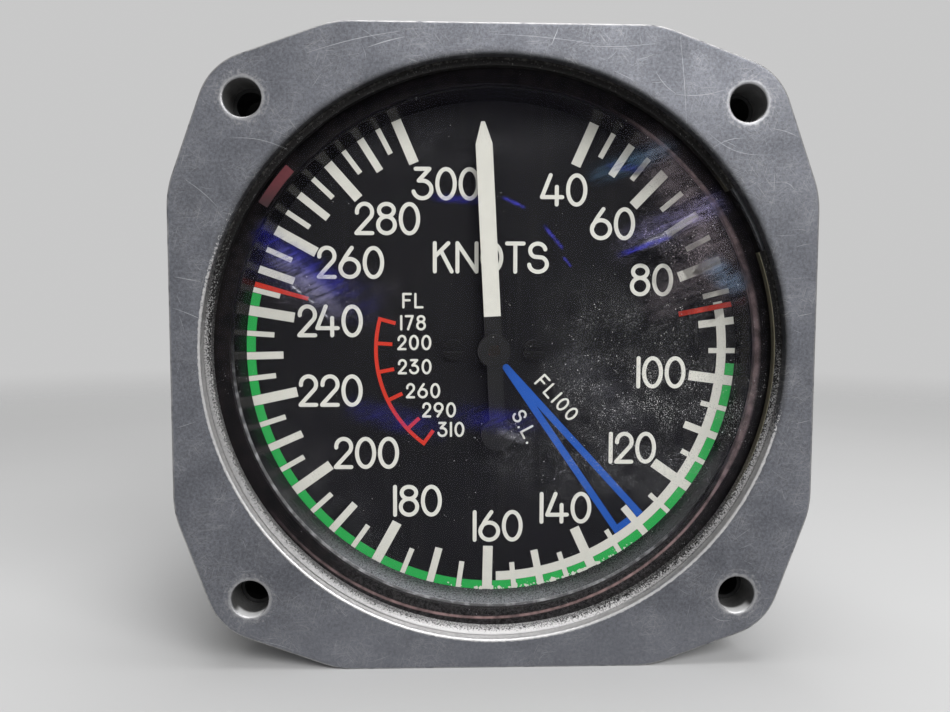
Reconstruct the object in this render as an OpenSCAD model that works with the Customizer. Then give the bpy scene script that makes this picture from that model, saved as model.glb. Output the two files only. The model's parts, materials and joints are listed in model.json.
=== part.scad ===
// Airspeed indicator for a 3 1/8 inch panel hole, with its capsule movement.
// The origin is on the dial axis, in the front face of the flange.
// The dial faces -Y, +Z is up, and +X is to the right of a person reading the dial.
// Clock angles are in degrees, clockwise from 12 o'clock as that person sees them.

/* [Panel flange] */
// Width across opposite flat edges
flange_across = 81.6; // [80:0.05:88]
// Thickness of the flange
flange_thick = 4.76; // [4:0.02:8]
// Length of the straight part of each flat edge
flange_flat = 36; // [28:0.5:40]
// Rounding where a flat edge turns towards an ear
flange_corner_r = 12; // [4:0.5:16]
// Distance from the dial axis to the tip of a corner ear
ear_reach = 49.1; // [48:0.1:54]
// Rounding of a corner ear
ear_r = 8; // [6:0.1:11]
// Spacing of neighbouring panel screw holes
bolt_pitch = 62.865; // [60:0.005:65]
// Diameter of a panel screw hole
bolt_hole_d = 4.76; // [3:0.02:5.2]
// Bevel at the mouth of a panel screw hole
bolt_bevel = 0.1; // [0.1:0.05:0.6]

/* [Case] */
// Outside diameter of the case behind the flange
case_od = 78.8; // [77:0.1:80]
// Depth from the front of the flange to the back of the case
case_depth = 66; // [63:0.5:95]
// Wall of the case behind the window seat
case_wall = 3.8; // [3:0.1:4.5]
// Wall round the window, between the opening and the outside of the case
rim_wall = 2.3; // [1.6:0.02:2.4]
// Bevel at the mouth of the window opening
rim_bevel = 0.1; // [0.1:0.05:0.6]
// Thickness of the back wall
back_wall = 4; // [3:0.1:6]
// Rounding of the rear edge
back_round = 3; // [1:0.1:6]

/* [Ports] */
// Tapping diameter of both ports
port_d = 8.6; // [7:0.1:10]
// Depth of the pitot port's thread
port_depth = 9; // [7:0.1:10]
// Diameter of the boss round a port
port_boss_d = 17; // [14:0.1:19]
// Height of the boss round a port
port_boss_h = 4; // [2:0.1:8]
// Distance of the static port from the pitot port, which is on the dial axis
port_pitch = 24; // [20:0.1:26]
// Diameter of the inner boss that holds the capsule
stem_boss_d = 14; // [11:0.1:18]
// Height of the inner boss
stem_boss_h = 6; // [5:0.1:8]

/* [Window] */
// Distance of the retaining ring behind the front of the flange
ring_setback = 1.5; // [1:0.05:2]
// Thickness of the retaining ring
ring_thick = 1; // [0.8:0.05:1.3]
// How far the retaining ring stands inside the opening
ring_lip = 0.95; // [0.6:0.05:1.4]
// How far the retaining ring reaches into its groove
ring_bite = 0.65; // [0.3:0.05:0.9]
// Angle of the gap between the ends of the retaining ring
ring_gap_angle = 14; // [6:1:40]
// Clock angle of the middle of that gap
ring_gap_at = 62; // [0:1:359]
// Thickness of the cover glass
glass_thick = 2.5; // [2:0.1:3]
// Thickness of the gasket, as pressed by the glass
gasket_thick = 0.8; // [0.5:0.05:1.2]
// Radial width of the gasket
gasket_w = 2.2; // [1.6:0.05:2.4]
// Thickness of the mask ring's lip
mask_lip = 0.8; // [0.5:0.05:1.2]
// Wall of the mask ring
mask_wall = 0.8; // [0.5:0.05:0.9]
// How much wider the mask ring is at its lip than at the dial
mask_flare = 0.85; // [0.2:0.05:0.9]
// Clock angle of the paint mark across the edge of the glass
paint_mark_at = 307; // [0:1:359]
// Angle that the paint mark covers
paint_mark_angle = 9.5; // [4:0.5:20]
// Radial width of the paint mark
paint_mark_w = 1.3; // [0.8:0.05:2]
// Gap between the retaining ring and the paint mark
paint_mark_gap = 0.45; // [0.05:0.05:1.5]

/* [Dial] */
// Depth of the dial's face behind the window seat
dial_drop = 2.4; // [2:0.05:4]
// Thickness of the dial
dial_thick = 0.8; // [0.5:0.05:1.5]
// Gap between the dial's edge and the case
dial_edge_gap = 1.3; // [1.1:0.05:2]
// Width of the dial's edge that the mask ring hides
dial_cover = 0.85; // [0.8:0.05:1.4]
// Diameter of the hole for the hand staff
dial_hole_d = 4; // [3:0.1:4.2]
// Distance of each dial screw from the axis
dial_screw_at = 5.5; // [5:0.1:8]
// Diameter of a dial screw's head
dial_screw_head_d = 2.8; // [2.2:0.1:3.4]
// Height of a dial screw's head
dial_screw_head_h = 0.55; // [0.3:0.05:0.8]
// Diameter of a dial screw's thread
dial_screw_d = 1.4; // [1:0.1:1.8]

/* [Scale] */
// Thickness of the printed marks
ink = 0.06; // [0.04:0.01:0.12]
// Gap between two printed colours, and between the marks and the mask ring
ink_gap = 0.04; // [0.02:0.01:0.1]
// Length of a mark for 20 knots
tick_20_len = 6.1; // [4:0.1:8]
// Length of a mark for 10 knots
tick_10_len = 4.9; // [3:0.1:6]
// Length of a mark for 5 knots
tick_5_len = 3.65; // [3:0.05:5]
// Width of a mark for 20 knots
tick_20_w = 1.35; // [0.8:0.05:1.6]
// Width of a mark for 10 knots
tick_10_w = 1; // [0.6:0.05:1.4]
// Width of a mark for 5 knots
tick_5_w = 0.7; // [0.4:0.05:1.2]
// Width of the green band
green_w = 1.2; // [0.8:0.05:1.4]
// Clock angle where the green band starts
green_from = 93.2; // [92.4:0.1:95]
// Clock angle where the green band ends
green_to = 283.4; // [281:0.1:283.8]
// Width of the white band
white_w = 1.25; // [0.8:0.05:1.5]
// Clock angle where the white band starts
white_from = 77.8; // [77.2:0.1:78.2]
// Clock angle where the white band ends
white_to = 179.1; // [177:0.1:179.6]
// Clock angle of the low red line
red_low_at = 79; // [78.6:0.1:81]
// Clock angle of the high red line
red_high_at = 285.4; // [285.2:0.1:287.2]
// Width of the red lines
red_w = 0.7; // [0.4:0.05:0.8]
// Width of the high red line at its inner end
red_tip_w = 0.5; // [0.2:0.05:0.7]
// Distance from the axis to the inner end of the red lines
red_inner = 26; // [24:0.1:28]
// Radius of the red limit arc
limit_r = 16; // [14:0.1:17]
// Width of the red limit arc and its marks
limit_w = 0.5; // [0.3:0.05:0.8]
// Length of a mark on the red limit arc
limit_tick_len = 2.2; // [1.4:0.1:3]
// Width of the blue lines
blue_w = 0.95; // [0.6:0.05:1.2]
// Distance from the axis to the meeting point of the blue lines
blue_inner = 3; // [2.5:0.1:5]
// Clock angle of the first blue line's outer end
blue_from = 138; // [136:0.1:139]
// Clock angle of the second blue line's outer end
blue_to = 145.4; // [143:0.1:146]
// Clock angle of the meeting point of the blue lines
blue_meet_at = 143.5; // [140:0.5:146]

/* [Pointer] */
// Clock angle of the pointer at rest
pointer_rest = -3; // [-6:0.1:2]
// Turn of the pointer from rest to its stop
pointer_sweep = 344; // [320:1:348]
// Distance from the axis to the tip
pointer_reach = 30.3; // [24:0.1:32]
// Width of the pointer
pointer_w = 2.25; // [1.6:0.05:3]
// Length of the taper at the tip
pointer_taper = 2.9; // [2:0.1:6]
// Width of the blunt tip
pointer_tip_w = 0.5; // [0.2:0.05:1]
// Thickness of the pointer
pointer_thick = 0.4; // [0.3:0.05:0.6]
// Height of the pointer's front over the dial
pointer_lift = 2; // [1.8:0.05:2.3]
// Distance from the axis to the start of the white paint
paint_start = 4.6; // [3:0.1:10]
// Thickness of the white paint
paint = 0.05; // [0.03:0.01:0.1]
// Distance from the axis to the centre of the tail's disc
tail_reach = 11.4; // [9.5:0.1:16]
// Width of the tail
tail_w = 2.1; // [1.4:0.05:3]
// Diameter of the tail's disc and of the counterweight behind it
tail_disc_d = 4.5; // [3:0.1:6]
// Thickness of the counterweight
weight_thick = 0.5; // [0.3:0.05:1]
// Diameter of the hub's head
hub_d = 4.4; // [3.6:0.1:6]
// Thickness of the hub's head
hub_head = 0.4; // [0.3:0.05:0.6]
// Diameter of the hub's neck, which carries the pointer
hub_neck_d = 3; // [2.4:0.1:3.2]
// Length of the hub's neck
hub_neck = 1.4; // [1:0.05:1.6]
// Diameter of the hand staff
staff_d = 1.6; // [1.2:0.05:1.9]
// How far the staff's end stands out of the hub
staff_tip = 0.12; // [0.05:0.01:0.3]
// Diameter of the pivots in the jewels
pivot_d = 1; // [0.7:0.05:1.1]

/* [Movement frame] */
// Gap between the dial and the front plate
dial_stand = 2.2; // [1.8:0.1:4]
// Thickness of both plates
plate_thick = 1.6; // [1.2:0.1:2.5]
// Gap between the edge of the plates and the wall of the case
plate_wall_gap = 2.6; // [1.6:0.1:3.1]
// Gap between the plates
plate_gap = 14.8; // [13.5:0.1:18]
// Distance from the edge of the plates to the centre of a pillar
pillar_inset = 4; // [3.5:0.1:5]
// Clock angle of the first of the three pillars
pillar_at = 0; // [-4:1:4]
// Diameter of a pillar between the plates
front_pillar_d = 4.4; // [3.8:0.1:5]
// Diameter of a pillar between the rear plate and the back of the case
rear_pillar_d = 5.2; // [4.4:0.1:6]
// Diameter of the threads in the pillars
pillar_screw_d = 2.4; // [2:0.1:2.6]
// Depth of the threads in the pillars
pillar_screw_len = 6; // [4:0.1:6.5]
// Diameter of the heads of the plate screws and case screws
pillar_head_d = 4.8; // [4:0.1:6]
// Height of those heads
pillar_head_h = 1.3; // [0.8:0.1:1.6]
// Width of a screwdriver slot
slot_w = 0.5; // [0.3:0.05:0.8]
// Diameter of a dial post
dial_post_d = 3.2; // [2.6:0.1:4]
// Diameter of a pivot jewel
jewel_d = 2.6; // [2:0.1:3]
// Diameter of the jewel round the hand staff in the front plate
staff_jewel_d = 3.6; // [3:0.1:4]

/* [Hairspring] */
// Distance of the hairspring behind the front plate
hairspring_lift = 1.9; // [1.2:0.1:3]
// Width of the hairspring's strip
hairspring_w = 1.2; // [0.8:0.1:1.6]
// Thickness of the hairspring's strip
hairspring_t = 0.16; // [0.1:0.01:0.25]
// Number of turns
hairspring_turns = 4.5; // [3:0.25:6]
// Spacing of the turns
hairspring_pitch = 1.05; // [0.7:0.05:1.3]
// Diameter of the collet
collet_d = 3.4; // [2.8:0.1:4]
// Length of the collet
collet_len = 2.4; // [1.6:0.1:3]
// Clock angle of the stud that holds the outer end
stud_at = 30; // [0:1:60]
// Diameter of the stud
stud_d = 1.6; // [1.2:0.1:2.4]

/* [Gears] */
// Distance from the sector's staff to the wall of the case
sector_wall_gap = 14; // [13:0.1:16]
// Teeth on the pinion
pinion_teeth = 12; // [10:1:13]
// Teeth that a full circle of the sector would have
sector_teeth = 96; // [88:1:100]
// Pressure angle of the teeth
pressure_angle = 20; // [18:0.5:25]
// Play between the teeth, along the pitch circle
backlash = 0.1; // [0.06:0.01:0.16]
// Distance of the sector's teeth behind the front plate
sector_lift = 8; // [6.8:0.1:9]
// Thickness of the sector
sector_thick = 1.6; // [1:0.1:2]
// How far the pinion reaches past each side of the sector
pinion_over = 1.4; // [0.6:0.1:2]
// How far the sector's staff is above the pillar on its side
sector_pillar_rise = 6.5; // [5.5:0.1:7.5]
// Diameter of the sector's staff
sector_staff_d = 2; // [1.6:0.1:2.4]
// Diameter of the sector's hub
sector_hub_d = 5.2; // [4.4:0.1:6]
// How far the hub reaches past each side of the sector
sector_hub_over = 1.6; // [1:0.1:2]
// Depth of the rim that carries the teeth
sector_rim = 2.2; // [1.6:0.1:3]
// Width of the sector's spokes
spoke_w = 2; // [1.4:0.1:3]
// Distance from the sector's staff to its drive pin
tail_pin_at = 6; // [5.6:0.1:6.6]
// Width of the sector's tail
sector_tail_w = 2.4; // [1.8:0.1:2.8]
// Diameter of the drive pin
drive_pin_d = 1.2; // [0.8:0.1:1.4]
// Length of the drive pin
drive_pin_len = 1.6; // [1.4:0.1:2]
// Distance from the sector's staff to its stop pins
stop_at = 12; // [10:0.1:13]
// Diameter of a stop pin
stop_d = 1.6; // [1:0.1:2]

/* [Rocking shaft] */
// Turn of the rocking shaft from rest to full scale
rock_swing = 16; // [15:0.5:18]
// Diameter of the rocking shaft
rock_d = 2.4; // [2:0.1:3]
// How far the shaft reaches past the drive finger and the capsule's arm
rock_over = 2; // [1.6:0.1:2.4]
// Width of the drive finger and of the collars on the shaft
finger_w = 2.4; // [2:0.1:2.8]
// Thickness of the drive finger
finger_t = 1; // [0.7:0.1:1.2]
// Diameter of the capsule's arm
arm_d = 1.2; // [0.9:0.1:1.6]
// How far the arm reaches past the capsule's post
arm_over = 1.5; // [1:0.1:2.5]
// Wall of the collars on the shaft
collar_wall = 1; // [0.7:0.1:1.2]
// Thickness of a bearing ear
bearing_t = 2.4; // [1.8:0.1:2.6]
// Width of a bearing ear
bearing_w = 5; // [4.4:0.1:5.4]
// Diameter of a pivot screw
pivot_screw_d = 2.4; // [1.8:0.1:2.6]
// How far a pivot screw stands out of its ear
pivot_screw_over = 1; // [0.5:0.1:1.4]
// Length of a pivot screw's tip in the shaft
pivot_tip_len = 1.4; // [1:0.1:2]

/* [Capsule] */
// Gap between the capsule and the rear pillars
capsule_side_gap = 3.4; // [1.9:0.1:6.4]
// Thickness of the capsule's sheet
capsule_sheet = 0.3; // [0.2:0.05:0.5]
// Rise of each half from the rim to its centre
capsule_dome = 2.2; // [1.8:0.1:3]
// Number of corrugations
capsule_waves = 3; // [2:1:4]
// Height of a corrugation over the mean slope
wave_h = 0.3; // [0.1:0.05:0.4]
// Diameter of the flat centre
capsule_flat_d = 11; // [9.5:0.1:14]
// Width of the flat rim
capsule_rim_w = 1.5; // [1:0.1:3]
// Diameter of the stem's thread
stem_d = 6; // [5:0.1:6.6]
// Diameter of the stem's bore
stem_bore_d = 2; // [1:0.1:2.4]
// Diameter of the stem's collar
stem_collar_d = 10; // [8:0.1:11]
// Thickness of the stem's collar
stem_collar_t = 1.5; // [1:0.1:2.5]
// Diameter of the stem's nose in the capsule's rear half
stem_nose_d = 3.2; // [2.8:0.1:4]
// Diameter of the post's foot on the capsule
post_foot_d = 8; // [6:0.1:9]
// Thickness of the post's foot
post_foot_t = 0.8; // [0.5:0.1:1.2]
// Diameter of the post
post_d = 2; // [1.4:0.1:3]

/* [Clearances] */
// Radial gap of parts that are fixed together
fit_gap = 0.02; // [0.01:0.01:0.05]
// Radial gap of parts that turn in each other
run_gap = 0.03; // [0.02:0.01:0.06]
// Radial gap round the glass, the gasket and the mask ring
glass_gap = 0.26; // [0.1:0.02:0.4]
// Gap round the retaining ring in its groove
groove_gap = 0.1; // [0.05:0.01:0.2]
// Radial gap of screws in clearance holes
screw_gap = 0.2; // [0.1:0.05:0.3]
// Gap at the ends of shafts, and between passing parts
end_gap = 0.3; // [0.2:0.05:0.5]
// Gap between parts that push on each other
contact_gap = 0.2; // [0.18:0.02:0.3]

/* [Hidden] */
$fn = 96;
// Overshoot of a cut past the surface that it leaves
over = case_depth / 60;

// Radii of the case and the window
case_r = case_od / 2;
case_in_r = case_r - case_wall;
opening_r = case_r - rim_wall;
groove_r = opening_r + ring_bite + groove_gap;
ring_in_r = opening_r - ring_lip;
glass_r = opening_r - glass_gap;
gasket_in_r = glass_r - gasket_w;
dial_r = case_in_r - dial_edge_gap;
mask_r = dial_r - dial_cover;
mask_top_r = mask_r + mask_flare;

// Depths, from the front to the back
ring_y = [ring_setback, ring_setback + ring_thick];
glass_y = [ring_y[1], ring_y[1] + glass_thick];
gasket_y = [glass_y[1], glass_y[1] + gasket_thick];
seat_y = gasket_y[1] + mask_lip;
dial_y = [seat_y + dial_drop, seat_y + dial_drop + dial_thick];
ink_y = [dial_y[0] - ink, dial_y[0]];
pointer_y = [dial_y[0] - pointer_lift, dial_y[0] - pointer_lift + pointer_thick];
hub_y = [pointer_y[0] - hub_head, pointer_y[0] + hub_neck];
front_plate_y = [dial_y[1] + dial_stand, dial_y[1] + dial_stand + plate_thick];
rear_plate_y = [front_plate_y[1] + plate_gap, front_plate_y[1] + plate_gap + plate_thick];
collet_y = [front_plate_y[1] + hairspring_lift - (collet_len - hairspring_w) / 2,
    front_plate_y[1] + hairspring_lift + (collet_len + hairspring_w) / 2];
hairspring_y = [front_plate_y[1] + hairspring_lift, front_plate_y[1] + hairspring_lift + hairspring_w];
sector_y = [front_plate_y[1] + sector_lift, front_plate_y[1] + sector_lift + sector_thick];
drive_pin_y = [sector_y[1], sector_y[1] + drive_pin_len];
back_in_y = case_depth - back_wall;
boss_y = case_depth + port_boss_h;
stem_seat_y = back_in_y - stem_boss_h;

// Plates and pillars of the movement
plate_d = 2 * (case_in_r - plate_wall_gap);
pillar_circle_d = plate_d - 2 * pillar_inset;
pillar_count = 3;
pillar_places = [for (i = [1:pillar_count])
    let (angle = pillar_at + 360 * i / pillar_count)
    pillar_circle_d / 2 * [sin(angle), cos(angle)]];
stud_y = [rear_plate_y[0] - pillar_screw_len, rear_plate_y[1]];
// Threaded and clear holes for the screws
pillar_thread_d = pillar_screw_d + 2 * fit_gap;
pillar_hole_d = pillar_screw_d + 2 * screw_gap;
dial_screw_hole_d = dial_screw_d + 2 * fit_gap;

// Scale, as pairs of knots and clock angle
scale_low = 40;
scale_high = 300;
scale_points = [[40, 23.9], [60, 44], [80, 68.5], [100, 97.3], [120, 125], [140, 155.3], [160, 181.3],
    [180, 208.9], [200, 234.6], [220, 257.9], [240, 279.2], [260, 298.8], [280, 318.2], [300, 336.8]];
// Speeds between neighbouring short, middle and long marks
tick_steps = [5, 10, 20];
limit_angles = [216.5, 227.2, 244.3, 259, 273.2, 285.2];
limit_ends = [limit_angles[0], limit_angles[len(limit_angles) - 1]];
mark_r = mask_r - ink_gap;
paint_mark_r = ring_in_r - paint_mark_gap;
green_r = [mark_r - green_w, mark_r];
white_r = [green_r[0] - ink_gap - white_w, green_r[0] - ink_gap];

// Gear train
staff_distance = case_in_r - sector_wall_gap;
gear_module = 2 * staff_distance / (pinion_teeth + sector_teeth);
// The second pillar is the one on the sector's side
sector_drop = -pillar_places[1][1] - sector_pillar_rise;
pinion_r = gear_module * pinion_teeth / 2;
sector_r = gear_module * sector_teeth / 2;
sector_pitch = 360 / sector_teeth;
pinion_pitch = 360 / pinion_teeth;
// Heights of the teeth in modules: the sector's are cut short, to clear the flanks of the small pinion
sector_tip_modules = 0.7;
pinion_tip_modules = 1;
foot_gap_modules = 0.25;
sector_addendum = sector_tip_modules * gear_module;
pinion_addendum = pinion_tip_modules * gear_module;
tooth_foot_gap = foot_gap_modules * gear_module;
sector_swing = pointer_sweep * pinion_teeth / sector_teeth;
sector_side = sqrt(pow(staff_distance, 2) - pow(sector_drop, 2));
sector_at = [-sector_side, -sector_drop];
// Direction from the sector's staff to the hand staff, anticlockwise from +X
mesh_dir = atan2(sector_drop, sector_side);
spare_teeth = 2;
sector_last = ceil(sector_swing / sector_pitch) + spare_teeth;
sector_edges = [mesh_dir - (sector_last + 0.5) * sector_pitch,
    mesh_dir + (spare_teeth + 0.5) * sector_pitch];
tail_dir = 180 - sector_swing / 2;
drive_pin_at = sector_at + polar(tail_pin_at, tail_dir);
// Turn from a spoke's edge to the centre of the stop pin that it comes to
stop_turn = asin((stop_d / 2 + end_gap) / stop_at);
stop_dirs = [sector_edges[0] - stop_turn, sector_edges[1] + sector_swing + stop_turn];
flank_steps = 4;

// Rocking shaft
finger_lever = tail_pin_at * sin(sector_swing / 2) / sin(rock_swing / 2);
finger_tip_y = sector_y[1] + end_gap;
rock_y = (finger_tip_y + drive_pin_y[1]) / 2 + finger_lever;
rock_z = sector_at[1] + drive_pin_d / 2 + finger_t / 2 + contact_gap;
finger_x = sector_at[0] - tail_pin_at * (1 + cos(sector_swing / 2)) / 2;
collar_r = rock_d / 2 + collar_wall;
rock_x = [finger_x - finger_w / 2 - rock_over, finger_w / 2 + rock_over];
arm_lever = -rock_z;

// Capsule
capsule_d = pillar_circle_d - rear_pillar_d - 2 * capsule_side_gap;
capsule_rim_y = stem_seat_y - stem_collar_t - capsule_dome - capsule_sheet;
capsule_front_y = capsule_rim_y - capsule_dome - capsule_sheet;
capsule_slope_r = [capsule_flat_d / 2, capsule_d / 2 - capsule_rim_w];
post_tip_y = rock_y + arm_lever * tan(rock_swing / 2) + arm_d / 2 / cos(rock_swing / 2) + contact_gap;
// Points drawn on a corrugation, and on a turn of the hairspring
wave_steps = 8;
spiral_steps = 24;

// Colours that several parts share
brass = [0.76, 0.62, 0.33];
steel = [0.62, 0.63, 0.65];
ruby = [0.75, 0.12, 0.25];
ink_white = [0.87, 0.86, 0.8];
ink_red = [0.8, 0.2, 0.13];

// Clock angle of a speed in knots
function clock(knots) = lookup(knots, scale_points);

// A point at a clock angle, as the reader sees the dial
function clock_point(r, angle) = r * [sin(angle), cos(angle)];

// A point at a radius and an angle anticlockwise from +X
function polar(r, angle) = r * [cos(angle), sin(angle)];

// Involute function of a pressure angle, in degrees
function involute(a) = tan(a) * 180 / PI - a;

// Half the angle that a tooth fills at a radius
function tooth_half(r, pitch_r, pitch_half) =
    pitch_half + involute(pressure_angle) - involute(acos(min(1, pitch_r * cos(pressure_angle) / r)));

// Outline of one tooth, from its right foot over its tip to its left foot
function tooth_points(pitch_r, pitch_angle, root_r, tip_r, at) =
    let (half = pitch_angle / 4 - backlash / 4 / pitch_r * 180 / PI)
    let (base_r = max(root_r, pitch_r * cos(pressure_angle)))
    let (radii = [for (i = [0:flank_steps]) base_r + (tip_r - base_r) * i / flank_steps])
    let (foot = tooth_half(base_r, pitch_r, half))
    let (right = [for (r = radii) polar(r, at - tooth_half(r, pitch_r, half))])
    let (left = [for (r = radii) polar(r, at + tooth_half(r, pitch_r, half))])
    // A foot on the base circle is the first point of its flank
    let (first = root_r < base_r ? 0 : 1)
    concat(
        [polar(root_r, at - foot)],
        [for (i = [first:flank_steps]) right[i]],
        [for (i = [flank_steps:-1:first]) left[i]],
        [polar(root_r, at + foot)]);

// Rise of the capsule's sheet from its rim, at a radius
function capsule_rise(r) =
    let (t = (capsule_slope_r[1] - r) / (capsule_slope_r[1] - capsule_slope_r[0]))
    t <= 0 ? 0 : t >= 1 ? capsule_dome : capsule_dome * t + wave_h * sin(360 * capsule_waves * t);

// Radii at which the capsule's sheet is drawn, from an inner radius to the edge
function capsule_radii(inner) =
    let (steps = capsule_waves * wave_steps)
    let (run = capsule_slope_r[1] - capsule_slope_r[0])
    concat([inner], [for (i = [0:steps]) capsule_slope_r[0] + run * i / steps], [capsule_d / 2]);

// A solid turned about the dial axis, from a flat shape of radius and depth
module turn() {
    rotate([-90, 0, 0]) rotate_extrude() children();
}

// A solid turned about the dial axis, from points of radius and depth
module turned(points) {
    turn() polygon(points);
}

// A ring about the dial axis
module ring(r0, r1, y) {
    turned([[r0, y[0]], [r1, y[0]], [r1, y[1]], [r0, y[1]]]);
}

// Part of a ring, between two clock angles
module band(r0, r1, y, from, to) {
    rotate([-90, 0, 0])
        rotate_extrude(angle = to - from, start = from - 90)
            polygon([[r0, y[0]], [r1, y[0]], [r1, y[1]], [r0, y[1]]]);
}

// A flat piece square to the dial axis, drawn as the reader sees it
module plate(y) {
    translate([0, y[1], 0]) rotate([90, 0, 0]) linear_extrude(y[1] - y[0]) children();
}

// A rod along the dial axis, at a place in the dial's plane
module rod(at, y, d) {
    translate([at[0], y[0], at[1]]) rotate([-90, 0, 0]) cylinder(h = y[1] - y[0], d = d);
}

// A rod across the case, at a height and depth
module cross_rod(x, d) {
    translate([x[0], rock_y, rock_z]) rotate([0, 90, 0]) cylinder(h = x[1] - x[0], d = d);
}

// A straight strip that points to the axis, such as a printed mark
module mark(angle, r0, r1, w) {
    rotate(-angle) translate([-w / 2, r0]) square([w, r1 - r0]);
}

// A slotted screw along the dial axis, whose head starts at y_head and whose thread points to the back
module rear_pointing_screw(at, y_head, head_d, head_h, d, length) {
    difference() {
        union() {
            rod(at, [y_head, y_head + head_h], head_d);
            rod(at, [y_head + head_h, y_head + head_h + length], d);
        }
        translate([at[0] - head_d, y_head - over, at[1] - slot_w / 2])
            cube([2 * head_d, over + head_h / 2, slot_w]);
    }
}

// Length and width of the mark for a speed
function tick_size(knots) =
    knots % tick_steps[2] == 0 ? [tick_20_len, tick_20_w]
    : knots % tick_steps[1] == 0 ? [tick_10_len, tick_10_w]
    : [tick_5_len, tick_5_w];

// All the scale's marks, grown by a gap
module tick_marks(gap = 0) {
    for (v = [scale_low:tick_steps[0]:scale_high])
        mark(clock(v), mark_r - tick_size(v)[0] - gap, mark_r + gap, tick_size(v)[1] + 2 * gap);
}

// The low red line, grown by a gap
module red_low(gap = 0) {
    mark(red_low_at, red_inner, mark_r - ink_gap, red_w + 2 * gap);
}

// Outline of the flange, with flat edges and rounded ears
module flange_outline() {
    ear_at = (ear_reach - ear_r) / sqrt(2);
    corner_at = flange_across / 2 - flange_corner_r;
    hull()
        for (x = [-1, 1], z = [-1, 1]) {
            translate([x * ear_at, z * ear_at]) circle(r = ear_r);
            translate([x * flange_flat / 2, z * corner_at]) circle(r = flange_corner_r);
            translate([x * corner_at, z * flange_flat / 2]) circle(r = flange_corner_r);
        }
}

// Cast case with its flange, window seat, ports and screw holes
module case() {
    color([0.25, 0.25, 0.26])
        difference() {
            union() {
                plate([0, flange_thick]) flange_outline();
                turn() {
                    square([case_r, case_depth - back_round]);
                    square([case_r - back_round, case_depth]);
                    translate([case_r - back_round, case_depth - back_round]) circle(r = back_round);
                }
                for (x = [0, port_pitch])
                    rod([x, 0], [back_in_y, boss_y], port_boss_d);
            }
            turned([[0, -over], [opening_r + rim_bevel, -over], [opening_r + rim_bevel, 0],
                [opening_r, rim_bevel], [opening_r, ring_y[0] - groove_gap],
                [groove_r, ring_y[0] - groove_gap], [groove_r, ring_y[1]],
                [opening_r, ring_y[1]], [opening_r, seat_y],
                [case_in_r, seat_y], [case_in_r, back_in_y], [stem_boss_d / 2, back_in_y],
                [stem_boss_d / 2, stem_seat_y], [0, stem_seat_y]]);
            for (x = [-1, 1], z = [-1, 1]) {
                rod([x, z] * bolt_pitch / 2, [-over, flange_thick + over], bolt_hole_d);
                translate([x * bolt_pitch / 2, 0, z * bolt_pitch / 2])
                    rotate([-90, 0, 0])
                        cylinder(h = bolt_bevel, r1 = bolt_hole_d / 2 + bolt_bevel, r2 = bolt_hole_d / 2);
            }
            rod([0, 0], [boss_y - port_depth, boss_y + over], port_d);
            rod([0, 0], [stem_seat_y - over, boss_y - port_depth + over], stem_d + 2 * fit_gap);
            rod([port_pitch, 0], [back_in_y - over, boss_y + over], port_d);
            for (p = pillar_places)
                rod(p, [back_in_y - over, case_depth + over], pillar_hole_d);
        }
}

// Spring ring that holds the glass, open at one place
module retaining_ring() {
    color([0.5, 0.5, 0.5])
        band(ring_in_r, opening_r + ring_bite, ring_y,
            ring_gap_at + ring_gap_angle / 2, ring_gap_at - ring_gap_angle / 2 + 360);
}

// Cover glass
module cover_glass() {
    color([0.6, 0.7, 0.8, 0.3]) rod([0, 0], glass_y, 2 * glass_r);
}

// Rubber gasket behind the glass
module glass_gasket() {
    color([0.08, 0.08, 0.08]) ring(gasket_in_r, glass_r, gasket_y);
}

// Black ring between the gasket and the dial
module mask_ring() {
    color([0.06, 0.06, 0.06])
        turned([[mask_top_r, gasket_y[1]], [glass_r, gasket_y[1]], [glass_r, seat_y],
            [mask_top_r + mask_wall, seat_y], [mask_r + mask_wall, dial_y[0]], [mask_r, dial_y[0]]]);
}

// Paint mark on the edge of the glass
module paint_mark() {
    color([0.4, 0.15, 0.15])
        band(paint_mark_r - paint_mark_w, paint_mark_r, [glass_y[0] - paint, glass_y[0]],
            paint_mark_at - paint_mark_angle / 2, paint_mark_at + paint_mark_angle / 2);
}

// Black dial
module dial() {
    color([0.07, 0.07, 0.08])
        difference() {
            ring(dial_hole_d / 2, dial_r, dial_y);
            for (x = [-1, 1])
                rod([x * dial_screw_at, 0], [dial_y[0] - over, dial_y[1] + over], dial_screw_hole_d);
        }
}

// Two screws that hold the dial
module dial_screws() {
    color([0.1, 0.1, 0.1])
        for (x = [-1, 1])
            rear_pointing_screw([x * dial_screw_at, 0], dial_y[0] - dial_screw_head_h, dial_screw_head_d,
                dial_screw_head_h, dial_screw_d, dial_thick + dial_stand + plate_thick / 2);
}

// White scale marks and the white band
module white_marks() {
    color(ink_white)
        difference() {
            union() {
                plate(ink_y) tick_marks();
                band(white_r[0], white_r[1], ink_y, white_from, white_to);
            }
            plate([ink_y[0] - over, ink_y[1] + over]) red_low(ink_gap);
        }
}

// Green band, cut by the white marks
module green_band() {
    color([0.16, 0.62, 0.3])
        difference() {
            band(green_r[0], green_r[1], ink_y, green_from, green_to);
            plate([ink_y[0] - over, ink_y[1] + over]) tick_marks(ink_gap);
        }
}

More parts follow.
